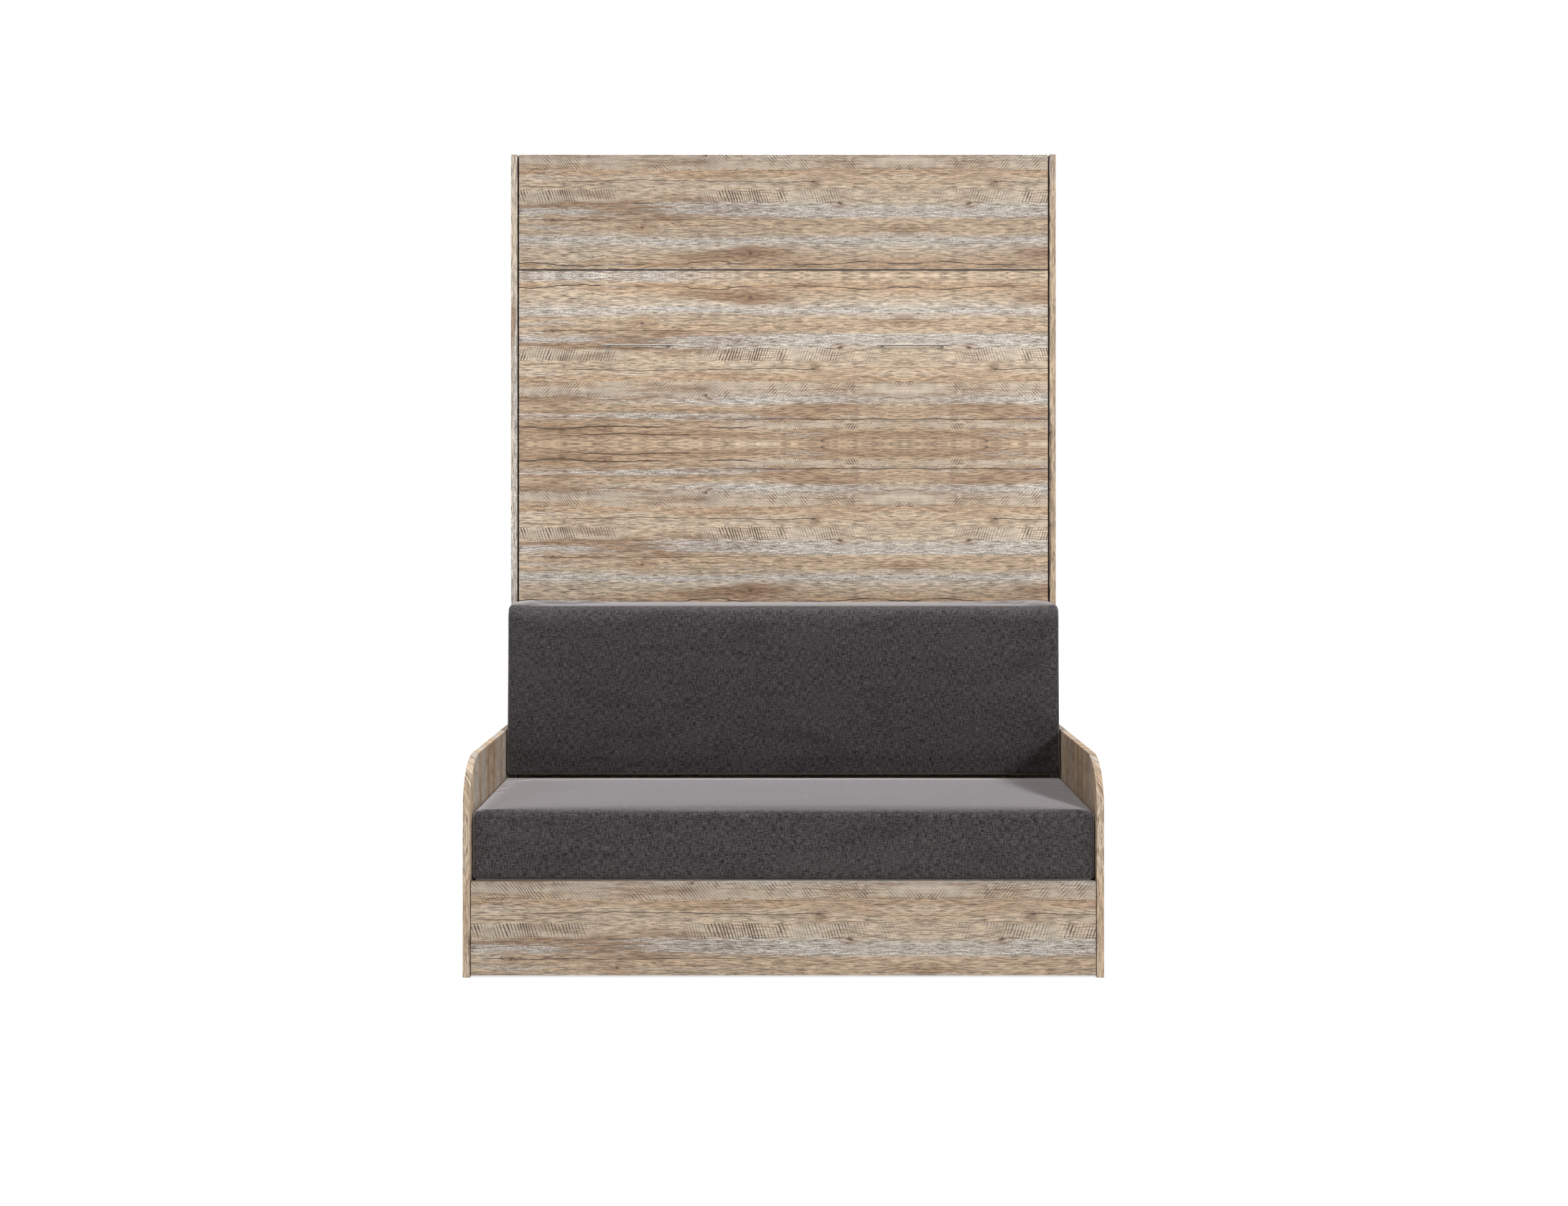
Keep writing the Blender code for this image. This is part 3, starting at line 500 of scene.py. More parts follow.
seam_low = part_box("bed_front_panel")[1].z
seam_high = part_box("foot_panel")[0].z
# How far the painted seam shade reaches past the seam, and how soft its edge is.
seam_shade_reach = 0.0011
seam_shade_fade = 0.0002
oak_front = oak_finish("oak_front", "x", seam_shade=1.0)
oak_top = oak_finish("oak_top", "x", tone_and_shade=0.77, seam_shade=1.0)
seat_panel_low, seat_panel_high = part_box("seat_front_panel")
step_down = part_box("foot_panel")[1].z - seat_panel_high.z
step_forward = front_face_y - seat_panel_low.y
# The seat front is darkened most, as painted shade: it stands in shade below the seat cushion.
oak_seat_shaded = oak_finish("oak_seat_front_shaded", "x", step_down + step_forward, tone_and_shade=0.70)
oak_upright = {
    "cabinet_side_left": oak_finish("oak_side_left", "z", -0.188),
    "cabinet_side_right": oak_finish("oak_side_right", "z", -0.048, tone_and_shade=0.86),
    "sofa_arm_left": oak_finish("oak_arm_left", "z", 0.0935, tone_and_shade=0.80),
    "sofa_arm_right": oak_finish("oak_arm_right", "z", 0.0735, tone_and_shade=0.80),
}
print("seven oak finishes ready")

# %% [markdown]
# Behind the decor are plain materials. Rails and carcass are board with a pale laminate
# whose fine dots only show close by. Slats, ledges and guides are birch with a quiet
# straight grain. Metal is either brushed in one direction, zinc plated with its faint
# cloudy flakes, or painted black, and the castors are moulded grey plastic.

# %% Laminate and birch
def laminate_finish():
    """Pale laminate, with fine dots and very faint clouds."""
    f = Finish("pale_laminate", 0.5)
    x, y, z = f.place()
    dots = f.noise(f.times(f.add(x, y), 900), f.times(f.add(z, y), 900), detail=2)
    clouds = f.noise(f.times(f.add(x, y), 6), f.times(z, 6), detail=2, seed=2.0)
    colour = f.mix(f.spread(clouds, 0.3, 0.7), paint(206, 198, 184), paint(214, 207, 195))
    colour = f.mix(f.spread(dots, 0.55, 0.75, 0.0, 0.35), colour, paint(178, 168, 152))
    f.colour(colour)
    f.bump(dots, 0.0002, 0.35)
    return f.material


def birch_finish(name, grain):
    """Birch with its grain along x or z."""
    f = Finish(name, 0.5)
    x, y, z = f.place()
    along, across = (x, f.add(z, y)) if grain == "x" else (z, f.add(x, y))
    bands = f.noise(f.times(along, 1.5), f.times(across, 45), detail=3)
    fibres = f.noise(f.times(along, 12), f.times(across, 650), detail=2, seed=3.0)
    colour = f.ramp(bands, ((0.25, paint(206, 174, 128)), (0.5, paint(222, 193, 150)),
                            (0.75, paint(232, 209, 172))))
    colour = f.mix(f.spread(fibres, 0.52, 0.75, 0.0, 0.4), colour, paint(176, 140, 98))
    f.colour(colour)
    f.rough(f.spread(fibres, 0.3, 0.7, 0.42, 0.58))
    f.bump(fibres, 0.0002, 0.4)
    return f.material


laminate = laminate_finish()
birch_lying = birch_finish("birch_lying", "x")
birch_upright = birch_finish("birch_upright", "z")
print("laminate and birch ready")

# %% Metals and plastic
def brushed_steel_finish():
    """Steel brushed along x."""
    f = Finish("brushed_steel", 0.42, 1.0)
    x, y, z = f.place()
    lines = f.noise(f.times(x, 8), f.times(f.add(z, y), 3200), detail=2)
    f.colour(f.mix(lines, paint(112, 107, 102), paint(142, 137, 131)))
    f.rough(f.spread(lines, 0.3, 0.7, 0.36, 0.52))
    f.bump(lines, 0.00005, 0.5)
    return f.material


def zinc_finish():
    """Zinc plate with cloudy flakes and a few scuffs."""
    f = Finish("zinc_plated_steel", 0.38, 1.0)
    x, y, z = f.place()
    flakes = f.noise(f.times(f.add(x, y), 55), f.times(f.add(z, y), 55), detail=4, roughness=0.6)
    scuffs = f.noise(f.times(f.add(x, z), 400), f.times(y, 60), detail=2, seed=4.0)
    f.colour(f.mix(f.spread(flakes, 0.35, 0.65), paint(176, 180, 184), paint(208, 211, 213)))
    f.rough(f.add(f.spread(flakes, 0.3, 0.7, 0.30, 0.44), f.spread(scuffs, 0.6, 0.8, 0.0, 0.12)))
    f.bump(scuffs, 0.00005, 0.3)
    return f.material


def black_paint_finish():
    """Black lacquer with a little dust and orange peel. On the hinge leaves behind the fold seam it is
    painted shade.
    """
    f = Finish("black_paint", 0.35)
    x, y, z = f.place()
    peel = f.noise(f.times(f.add(x, y), 700), f.times(z, 700), detail=1)
    dust = f.noise(f.times(f.add(x, y), 30), f.times(z, 30), detail=3, seed=5.0)
    f.colour(f.mix(f.spread(dust, 0.45, 0.7), paint(17, 17, 18), paint(30, 30, 31)))
    f.rough(f.spread(dust, 0.4, 0.7, 0.32, 0.46))
    f.bump(peel, 0.00008, 0.35)
    f.shader.inputs["Coat Weight"].default_value = 0.25
    return f.material


def grey_plastic_finish():
    """Moulded plastic with fine pits."""
    f = Finish("grey_plastic", 0.48)
    x, y, z = f.place()
    pits = f.noise(f.times(f.add(x, y), 1500), f.times(f.add(z, y), 1500), detail=1)
    wear = f.noise(f.times(f.add(x, y), 80), f.times(z, 80), detail=3, seed=6.0)
    f.colour(f.mix(f.spread(wear, 0.5, 0.7), paint(112, 113, 116), paint(138, 139, 141)))
    f.rough(f.spread(wear, 0.4, 0.7, 0.42, 0.58))
    f.bump(pits, 0.0001, 0.4)
    return f.material


brushed_steel = brushed_steel_finish()
zinc = zinc_finish()
black_paint = black_paint_finish()
grey_plastic = grey_plastic_finish()
print("metals and plastic ready")

# %% [markdown]
# Round parts arrive as flat facets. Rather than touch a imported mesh, each part gets a small
# geometry modifier: it joins the corner points, keeps a crease where two faces meet at a
# real edge and shades the rest smooth.

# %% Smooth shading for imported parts
merge_gap = 0.00001
crease_angle = radians(32)


def smooth_group():
    """Join, then shade smooth except across sharp edges."""
    group = bpy.data.node_groups.new("smooth_round_faces", "GeometryNodeTree")
    for direction in ("INPUT", "OUTPUT"):
        group.interface.new_socket("Geometry", in_out=direction, socket_type="NodeSocketGeometry")
    nodes, links = group.nodes, group.links
    source = nodes.new("NodeGroupInput")
    result = nodes.new("NodeGroupOutput")
    merge = nodes.new("GeometryNodeMergeByDistance")
    merge.inputs["Distance"].default_value = merge_gap
    angle = nodes.new("GeometryNodeInputMeshEdgeAngle")
    sharp = nodes.new("FunctionNodeCompare")
    sharp.data_type = "FLOAT"
    sharp.operation = "GREATER_THAN"
    sharp.inputs["B"].default_value = crease_angle
    normals = nodes.new("GeometryNodeSetMeshNormal")
    normals.mode = "SHARPNESS"
    links.new(source.outputs[0], merge.inputs["Geometry"])
    links.new(merge.outputs[0], normals.inputs["Mesh"])
    links.new(angle.outputs["Unsigned Angle"], sharp.inputs["A"])
    links.new(sharp.outputs["Result"], normals.inputs["Edge Sharpness"])
    links.new(normals.outputs[0], result.inputs[0])
    return group


smooth_faces = smooth_group()
for part in parts.values():
    modifier = part.modifiers.new("smooth_round_faces", "NODES")
    modifier.node_group = smooth_faces
print("packed parts shaded")

# %% [markdown]
# Each imported part keeps its mesh and takes the finish of the real piece in its own material
# slot. A table says who wears what, which is easier to read and to check than one line for
# each part. Fronts and top wear the decor, hidden boards the laminate, and metal its coat. The
# hinge leaves behind the fold seam wear the black paint instead, as painted shade in the seam.

# %% Dress the imported parts
finish_of_parts = (
    (oak_front, ("bed_front_panel", "cabinet_top", "plinth_board")),
    (oak_top, ("foot_panel",)),
    (oak_seat_shaded, ("seat_front_panel",)),
    (laminate, ("wall_rail_bottom", "wall_rail_middle", "wall_rail_top", "sofa_rear_rail",
                "bed_rail_left", "bed_rail_right", "bed_head_rail", "bed_foot_rail", "backrest_board",
                "seat_box_side_left", "seat_box_side_right", "seat_box_back", "seat_box_bottom",
                "seat_platform")),
    (birch_lying, ("slatted_base",)),
    (birch_upright, ("slat_ledge_left", "slat_ledge_right", "bed_centre_beam", "seat_guide_left",
                     "seat_guide_right")),
    (brushed_steel, ("handle_left", "handle_right")),
    (zinc, ("pivot_plate_left", "pivot_plate_right", "spring_bracket_left", "spring_bracket_right",
            "spring_stud_left", "spring_stud_right", "leg_guide_left", "leg_guide_right",
            "leg_left", "leg_right", "gas_rod_left", "gas_rod_right",
            "castor_fork_front_left", "castor_fork_front_right", "castor_fork_rear_left",
            "castor_fork_rear_right")),
    # The hinge leaves wear the black paint as painted shade: they lie behind the fold seam and make its gap
    # read dark.
    (black_paint, ("gas_tube_left", "gas_tube_right", "hinge_leaf_lower", "hinge_leaf_upper")),
    (grey_plastic, ("castor_roller_front_left", "castor_roller_front_right", "castor_roller_rear_left",
                    "castor_roller_rear_right")),
)
for material, names in finish_of_parts:
    for name in names:
        parts[name].material_slots[0].material = material
for name, material in oak_upright.items():
    parts[name].material_slots[0].material = material
dressed = len(oak_upright) + sum(len(names) for _, names in finish_of_parts)
print(f"{dressed} packed parts dressed")

# %% [markdown]
# The cushions are foam blocks in a tight woven cover. A real cover is cut flat and sewn, so
# its faces are nearly plain, its corners are small and soft, and its sides draw in a little
# between the corners. Each one starts as the skin of a box with more loops near its edges,
# because that is where the form turns. Its corners are then rounded by pulling every point
# to the same distance from a smaller box inside.

# %% Skin of a soft box
loops_in_corner = 4


def loops_along(low, high, radii, cell):
    """Places of the loops along one side: close together in the corners, even between."""
    near, far = radii
    inner = high - low - near - far
    count = max(2, round(inner / cell))
    start = [low + near * step / loops_in_corner for step in range(loops_in_corner)]
    middle = [low + near + inner * step / count for step in range(count + 1)]
    end = [high - far * step / loops_in_corner for step in reversed(range(loops_in_corner))]
    return start + middle + end


def box_skin(xs, ys, zs):
    """Closed skin of a box of cells."""
    bm = bmesh.new()
    made = {}

    def corner(i, j, k):
        if (i, j, k) not in made:
            made[i, j, k] = bm.verts.new((xs[i], ys[j], zs[k]))
        return made[i, j, k]

    last = (len(xs) - 1, len(ys) - 1, len(zs) - 1)
    for axis in range(3):
        one, two = [a for a in range(3) if a != axis]
        for end in (0, last[axis]):
            for a in range(last[one]):
                for b in range(last[two]):
                    ring = []
                    for da, db in ((0, 0), (1, 0), (1, 1), (0, 1)):
                        index = [0, 0, 0]
                        index[axis] = end
                        index[one] = a + da
                        index[two] = b + db
                        ring.append(corner(*index))
                    bm.faces.new(ring)
    bmesh.ops.recalc_face_normals(bm, faces=bm.faces)
    return bm


def rounded(point, low, high, radii):
    """Round the skin. Each side has its own radius, so an edge may be an ellipse."""
    core, out = [], []
    for value, a, b, (near, far) in zip(point, low, high, radii):
        if value < a + near:
            core.append(a + near)
            out.append(((value - a - near) / near, near))
        elif value > b - far:
            core.append(b - far)
            out.append(((value - b + far) / far, far))
        else:
            core.append(value)
            out.append((0.0, 0.0))
    length = sum(share * share for share, _ in out) ** 0.5
    if length == 0:
        return point
    return Vector([c + share / length * radius for c, (share, radius) in zip(core, out)])


def soft_box(name, low, high, radii, cell, shape):
    """A mesh object: a skin with round edges, then moved point by point by shape()."""
    sides = [loops_along(a, b, pair, cell) for a, b, pair in zip(low, high, radii)]
    bm = box_skin(*sides)
    for vert in bm.verts:
        vert.co = shape(rounded(vert.co.copy(), low, high, radii))
    mesh = bpy.data.meshes.new(name)
    bm.to_mesh(mesh)
    bm.free()
    mesh.shade_smooth()
    obj = bpy.data.objects.new(name, mesh)
    bpy.context.collection.objects.link(obj)
    return obj


def share_between(value, low, high):
    """Where a value lies between two limits, from -1 to 1."""
    return (2 * value - low - high) / (high - low)


print("soft box ready")

# %% [markdown]
# A cover over foam is never quite flat. A short cloth simulation finds that unevenness: the
# cover is given a little spare cloth and some pressure from inside, the faces that lie on
# something are pinned, and after twenty steps each point has moved by a few millimetres at
# most. The result is written back to the mesh, so nothing of the simulation stays.

# %% Let a cover settle
settle_steps = 20


def settle(obj, held, cap, spare, pressure=4.0):
    """Puff a cover. held(point) is how firmly a point is pinned, cap the most it may move."""
    group = obj.vertex_groups.new(name="held")
    for vert in obj.data.vertices:
        group.add([vert.index], held(vert.co), "REPLACE")
    cloth = obj.modifiers.new("cover", "CLOTH")
    cloth.settings.quality = 4
    cloth.settings.mass = 0.3
    cloth.settings.tension_stiffness = 25
    cloth.settings.compression_stiffness = 25
    cloth.settings.bending_stiffness = 2.0
    cloth.settings.use_pressure = True
    cloth.settings.uniform_pressure_force = pressure
    cloth.settings.shrink_min = -spare
    cloth.settings.vertex_group_mass = "held"
    cloth.settings.effector_weights.gravity = 0
    cloth.collision_settings.use_collision = False
    cloth.point_cache.frame_start = 1
    cloth.point_cache.frame_end = settle_steps
    scene = bpy.context.scene
    for step in range(1, settle_steps + 1):
        scene.frame_set(step)
    settled = obj.evaluated_get(bpy.context.evaluated_depsgraph_get())
    goals = [vert.co.copy() for vert in settled.data.vertices]
    obj.modifiers.remove(cloth)
    obj.vertex_groups.remove(group)
    scene.frame_set(1)
    largest = 0.0
    for vert, goal in zip(obj.data.vertices, goals):
        move = goal - vert.co
        if move.length > cap:
            move *= cap / move.length
        largest = max(largest, move.length)
        vert.co += move
    return largest


print("settling ready")

# %% [markdown]
# The cover is a charcoal cloth with a linen look: threads of uneven thickness cross, so it
# is dark with fine paler slubs both ways. Seen from above, at a low angle, it turns a light
# lilac grey, because fibre ends stand up and catch the light. The sheen of the shader is
# made for exactly that. On every face the threads have to run along its own two directions,
# so the finish looks at the face's normal to choose which coordinates it crosses.

# %% Charcoal cloth
thread_pitch = 0.0020


def face_coordinates(f, x, y, z):
    """Two coordinates that run along a face, whichever way it looks."""
    source = f.nodes.new("ShaderNodeTexCoord")
    facing = f.nodes.new("ShaderNodeSeparateXYZ")
    f.links.new(source.outputs["Normal"], facing.inputs[0])
    to_side = f.math("GREATER_THAN", f.math("ABSOLUTE", facing.outputs[0]), 0.7)
    to_top = f.math("GREATER_THAN", f.math("ABSOLUTE", facing.outputs[2]), 0.7)
    first = f.add(f.times(x, f.minus(1.0, to_side)), f.times(y, to_side))
    second = f.add(f.times(z, f.minus(1.0, to_top)), f.times(y, to_top))
    return first, second


def charcoal_finish():
    """Two crossing sets of uneven threads, with paler slubs."""
    f = Finish("charcoal_cloth", 0.92)
    first, second = face_coordinates(f, *f.place())
    weft = f.noise(f.times(first, 62), f.times(second, 1 / thread_pitch), detail=1, roughness=0.6)
    warp = f.noise(f.times(first, 1 / thread_pitch), f.times(second, 62), detail=1, roughness=0.6, seed=4.0)
    fleck = f.noise(f.times(first, 240), f.times(second, 400), detail=1, seed=9.0)
    worn = f.noise(f.times(first, 5), f.times(second, 16), detail=4, seed=2.0)
    threads = f.add(f.times(weft, 0.5), f.times(warp, 0.5))
    colour = f.mix(f.spread(threads, 0.36, 0.64), paint(16, 13, 14), paint(82, 77, 78))
    colour = f.mix(f.spread(fleck, 0.58, 0.72, 0.0, 0.40), colour, paint(112, 106, 107))
    colour = f.mix(f.spread(fleck, 0.42, 0.30, 0.0, 0.35), colour, paint(20, 17, 18))
    colour = f.mix(f.spread(worn, 0.52, 0.70, 0.0, 0.25), colour, paint(72, 67, 67))
    colour = f.mix(f.spread(worn, 0.48, 0.32, 0.0, 0.25), colour, paint(28, 25, 28))
    f.colour(colour)
    f.shader.inputs["Sheen Weight"].default_value = 1.0
    f.shader.inputs["Sheen Roughness"].default_value = 0.40
    f.shader.inputs["Sheen Tint"].default_value = paint(233, 228, 231)
    f.shader.inputs["Specular IOR Level"].default_value = 0.15
    over = f.math("PINGPONG", f.math("DIVIDE", first, thread_pitch), 1.0)
    under = f.math("PINGPONG", f.math("DIVIDE", second, thread_pitch), 1.0)
    f.bump(f.add(f.times(over, under), f.times(threads, 1.5)), 0.0004, 0.55)
    return f.material


charcoal_cloth = charcoal_finish()
print("charcoal cloth ready")

# %% [markdown]
# The seat cushion is a slab of foam that fills the seat between the arms. Its top is crowned
# and its ends draw in between the corners. The cover stands a few millimetres proud of the
# foam. All of that is one function of a point's place in the box, so every loop of the skin
# follows it. What lies on a board, meets an arm or is sewn at the rear is held while the
# cover settles, and the hold fades out gradually, because a sudden stop would leave a crease.

# %% Seat cushion
cushion_cell = 0.014
cushion_draw = 0.0022
cushion_ease = 0.0028
cover_play = 0.0030
spare_cloth = 0.006
seam_reach = 0.004
hold_start = 0.008
hold_reach = 0.09
end_hold_reach = 0.06
end_hold = 0.8
least_hold = 0.02
front_share = 0.6
seat_radii = ((0.012, 0.012), (0.017, 0.008), (0.008, 0.014))
seat_crown = 0.0022
seat_edge_drop = 0.002
seat_loft = 0.005
seat_low, seat_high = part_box("seat_cushion")
seat_low.x -= cushion_ease / 2
seat_high.x += cushion_ease / 2
seat_flat_top = seat_high.z + seat_loft - seat_crown - seat_edge_drop / 2


def seat_shape(point):
    """Crown the top, let it fall towards the front, and draw the sides in between corners."""
    u = share_between(point.x, seat_low.x, seat_high.x)
    v = share_between(point.y, seat_low.y, seat_high.y)
    w = share_between(point.z, seat_low.z, seat_flat_top)
    lift = (seat_crown * (1 - u ** 6) * (1 - v ** 4) + seat_edge_drop * v / 2) * max(0, w)
    side_pull = cushion_draw * (1 - v ** 4) * (1 - min(1, abs(w)) ** 4)
    front_pull = cushion_draw * (1 - u ** 6) * (1 - min(1, abs(w)) ** 4) * front_share
    return Vector((point.x - side_pull * u ** 3, point.y - front_pull * v ** 3, point.z + lift))


def hold_near(distance, reach):
    """1 on an edge that is held, falling to 0 at the end of its reach."""
    return 1 - min(1, max(0, distance - hold_start) / reach)


seat_top_corner = Vector((seat_high.x, seat_high.y, seat_flat_top))
seat_cushion = soft_box("seat_cushion_cover", seat_low, seat_top_corner, seat_radii,
                        cushion_cell, seat_shape)


def seat_held(point):
    """The underside, the ends and the rear are held, the top and the front are free."""
    if point.z < seat_low.z + seam_reach:
        return 1.0
    at_rear = hold_near(seat_high.y - point.y, hold_reach)
    at_end = hold_near(seat_high.x - abs(point.x), end_hold_reach)
    return max(least_hold, at_rear ** 2, end_hold * at_end ** 2)


moved = settle(seat_cushion, seat_held, cover_play, spare_cloth)
print(f"seat cover: {len(seat_cushion.data.vertices)} points, moved up to {moved * 1000:.1f} mm")

# %% [markdown]
# The backrest is a second slab of foam, fixed to the bed front by a board at its back. Its
# face leans back towards the top, its upper front edge slopes off like a shoulder, and its
# hem hangs close above the seat. Towards the rear it is narrower, because there it passes
# the pivot plates of the cabinet when the bed comes down.

# %% Backrest cushion
back_hem = 0.0055
back_loft = 0.003
back_crown = 0.003
backrest_foot_depth = 0.192
backrest_head_depth = 0.170
shoulder_start_share = 0.84
shoulder_depth = 0.016
shoulder_drop = 0.003
rear_draw = 0.006
back_low, back_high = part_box("backrest_cushion")
back_low.z -= back_hem
back_high.z += back_loft
back_low.x -= cushion_ease
back_high.x += cushion_ease
back_radii = ((0.011, 0.011), (0.020, 0.010), (0.009, 0.018))
backrest_foot_y = front_face_y - backrest_foot_depth
backrest_head_y = front_face_y - backrest_head_depth


def back_shape(point):
    """Lean the front face back towards the top, crown it a little and slope its shoulder."""
    v = share_between(point.y, back_low.y, back_high.y)
    w = share_between(point.z, back_low.z, back_high.z)
    u = share_between(point.x, back_low.x, back_high.x)
    face_y = backrest_foot_y + (backrest_head_y - backrest_foot_y) * (w + 1) / 2
    depth = (point.y - back_low.y) / (back_high.y - back_low.y)
    y = face_y + back_crown + (back_high.y - face_y - back_crown) * depth
    y -= back_crown * (1 - u ** 6) * (1 - w ** 4) * max(0, -v)
    pull = cushion_draw * (1 - w ** 4) * (1 - min(1, abs(v)) ** 4) + rear_draw * max(0, v) ** 2
    near_top = max(0, (w - shoulder_start_share) / (1 - shoulder_start_share))
    shoulder = near_top ** 2 * max(0, -v)
    y += shoulder_depth * shoulder
    return Vector((point.x - pull * u ** 3, y, point.z - shoulder_drop * shoulder))


backrest_cushion = soft_box("backrest_cushion_cover", back_low, back_high, back_radii,
                            cushion_cell, back_shape)


def back_held(point):
    """The rear is held on the board, so is the hem, the ends nearly so, the face is free."""
    if point.y > back_high.y - seam_reach:
        return 1.0
    at_hem = hold_near(point.z - back_low.z, hold_reach)
    at_end = hold_near(back_high.x - abs(point.x), end_hold_reach)
    return max(least_hold, at_hem ** 2, end_hold * at_end ** 2)


moved = settle(backrest_cushion, back_held, cover_play, spare_cloth)
print(f"backrest cover: {len(backrest_cushion.data.vertices)} points, moved up to {moved * 1000:.1f} mm")

# %% [markdown]
# Both cushions now wear the cloth. One level of subdivision rounds the skin a last time.
# Then each cushion is tied to the body it rides on, and the plain solid it stands for is hidden.

# %% Cloth on the cushions
for cushion, node, body in ((seat_cushion, "seat_cushion", "seat_unit"),
                            (backrest_cushion, "backrest_cushion", "bed")):
    cushion.data.materials.append(charcoal_cloth)
    fine = cushion.modifiers.new("fine", "SUBSURF")
    fine.levels = 1
    fine.render_levels = 1
    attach(cushion, body)
    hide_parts(node)
print("two cushions covered")

# %% [markdown]
# The mattress lies on its slats behind the front, upright while the bed is up. It is a foam
# mattress with a knitted cover: quilted in diamonds on both large faces, a plain border,
# and a corded tape round each large face. The diamonds are real relief, worked out from two
# crossing sets of slanting stitch lines.

# %% Mattress
mattress_radius = 0.028
mattress_cell = 0.015
quilt_pitch = 0.120
quilt_depth = 0.0045
quilt_fade = 0.03
mattress_low, mattress_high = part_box("mattress")
mattress_radii = ((mattress_radius, mattress_radius),) * 3


def quilt(a, b):
    """Height of the quilting: 0 on a stitch line, 1 in the middle of a diamond."""
    first = abs(sin(pi * (a + b) / quilt_pitch))
    second = abs(sin(pi * (a - b) / quilt_pitch))
    return min(first, second) ** 0.6


def mattress_shape(point):
    """Quilt the two large faces, and leave the border plain."""
    v = share_between(point.y, mattress_low.y, mattress_high.y)
    inside = min(mattress_high.x - abs(point.x), point.z - mattress_low.z, mattress_high.z - point.z)
    fade = min(1, max(0, (inside - mattress_radius) / quilt_fade))
    sink = quilt_depth * (1 - quilt(point.x, point.z)) * fade
    if abs(v) > 0.8:
        point.y -= sink * (1 if v > 0 else -1)
    return point


mattress_cover = soft_box("mattress_cover", mattress_low, mattress_high, mattress_radii,
                          mattress_cell, mattress_shape)


def knitted_finish():
    """A pale knit, its loops finer across than along."""
    f = Finish("knitted_cover", 0.85)
    x, y, z = f.place()
    slant_y = f.times(y, 0.7)
    loops = f.noise(f.times(f.add(x, slant_y), 520), f.times(f.add(z, slant_y), 320), detail=2)
    shade = f.noise(f.times(x, 7), f.times(z, 7), detail=3, seed=3.0)
    colour = f.mix(f.spread(loops, 0.35, 0.65), paint(188, 186, 182), paint(210, 208, 204))
    f.colour(f.mix(f.spread(shade, 0.4, 0.7, 0.0, 0.3), colour, paint(182, 181, 180)))
    f.shader.inputs["Sheen Weight"].default_value = 0.3
    f.bump(loops, 0.0004, 0.5)
    return f.material


knitted_cover = knitted_finish()
mattress_cover.data.materials.append(knitted_cover)
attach(mattress_cover, "bed")
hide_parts("mattress")
print(f"mattress cover: {len(mattress_cover.data.vertices)} points")

# %% [markdown]
# Seams and tapes follow the covers they are sewn to. A seam starts on the sharp edge of the
# box that a cushion grew from. Rounding and shaping that line like the cushion itself would
# miss what the settling did, so each point is moved to the nearest place on the finished
# cover instead. The mattress gets a thick corded tape, the cushions a thin seam.

# %% Seams and tapes
seam_step = 0.010
seam_radius = 0.0008
seam_sunk_share = 0.6
tape_radius = 0.0034
tape_sunk_share = 0.35


def tube_along(name, points, radius, closed=True):
    """A round tube through a row of points, as a mesh object."""
    curve = bpy.data.curves.new(name, "CURVE")
    curve.dimensions = "3D"
    curve.bevel_depth = radius
    curve.bevel_resolution = 2
    curve.use_fill_caps = not closed
    line = curve.splines.new("POLY")
    line.points.add(len(points) - 1)
    line.use_cyclic_u = closed
    for knot, point in zip(line.points, points):
        knot.co = (*point, 1)
    drawn = bpy.data.objects.new(name + "_line", curve)
    mesh = bpy.data.meshes.new_from_object(drawn)
    bpy.data.objects.remove(drawn)
    bpy.data.curves.remove(curve)
    mesh.name = name
    mesh.shade_smooth()
    obj = bpy.data.objects.new(name, mesh)
    bpy.context.collection.objects.link(obj)
    return obj


def edge_of_face(low, high, radii, fixed, value):
    """Points round the sharp edge of one face of the box. fixed is the axis the face looks along."""
    a, b = [axis for axis in range(3) if axis != fixed]
    run_a = loops_along(low[a], high[a], radii[a], seam_step)
    run_b = loops_along(low[b], high[b], radii[b], seam_step)
    pairs = [(s, low[b]) for s in run_a[:-1]] + [(high[a], s) for s in run_b[:-1]]
    pairs += [(s, high[b]) for s in reversed(run_a[1:])] + [(low[a], s) for s in reversed(run_b[1:])]
    points = []
    for first, second in pairs:
        point = Vector()
        point[fixed] = value
        point[a] = first
        point[b] = second
        points.append(rounded(point, low, high, radii))
    return points


def sewn_on(name, cover, points, radius, sunk, material, body):
    """Lay a tube on a cover, sunk into it by a share of its radius."""
    tree = BVHTree.FromObject(cover, bpy.context.evaluated_depsgraph_get())
    laid = []
    for point in points:
        place, normal, _, _ = tree.find_nearest(point)
        laid.append(place - normal * radius * sunk)
    tube = tube_along(name, laid, radius)
    tube.data.materials.append(material)
    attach(tube, body)


def thread_finish():
    """Dark sewing thread with a fine twist."""
    f = Finish("sewing_thread", 0.95)
    x, y, z = f.place()
    twist = f.noise(f.times(f.add(x, y), 700), f.times(z, 700))
    f.colour(f.mix(twist, paint(14, 13, 14), paint(34, 32, 33)))
    f.bump(twist, 0.0002, 0.5)
    return f.material


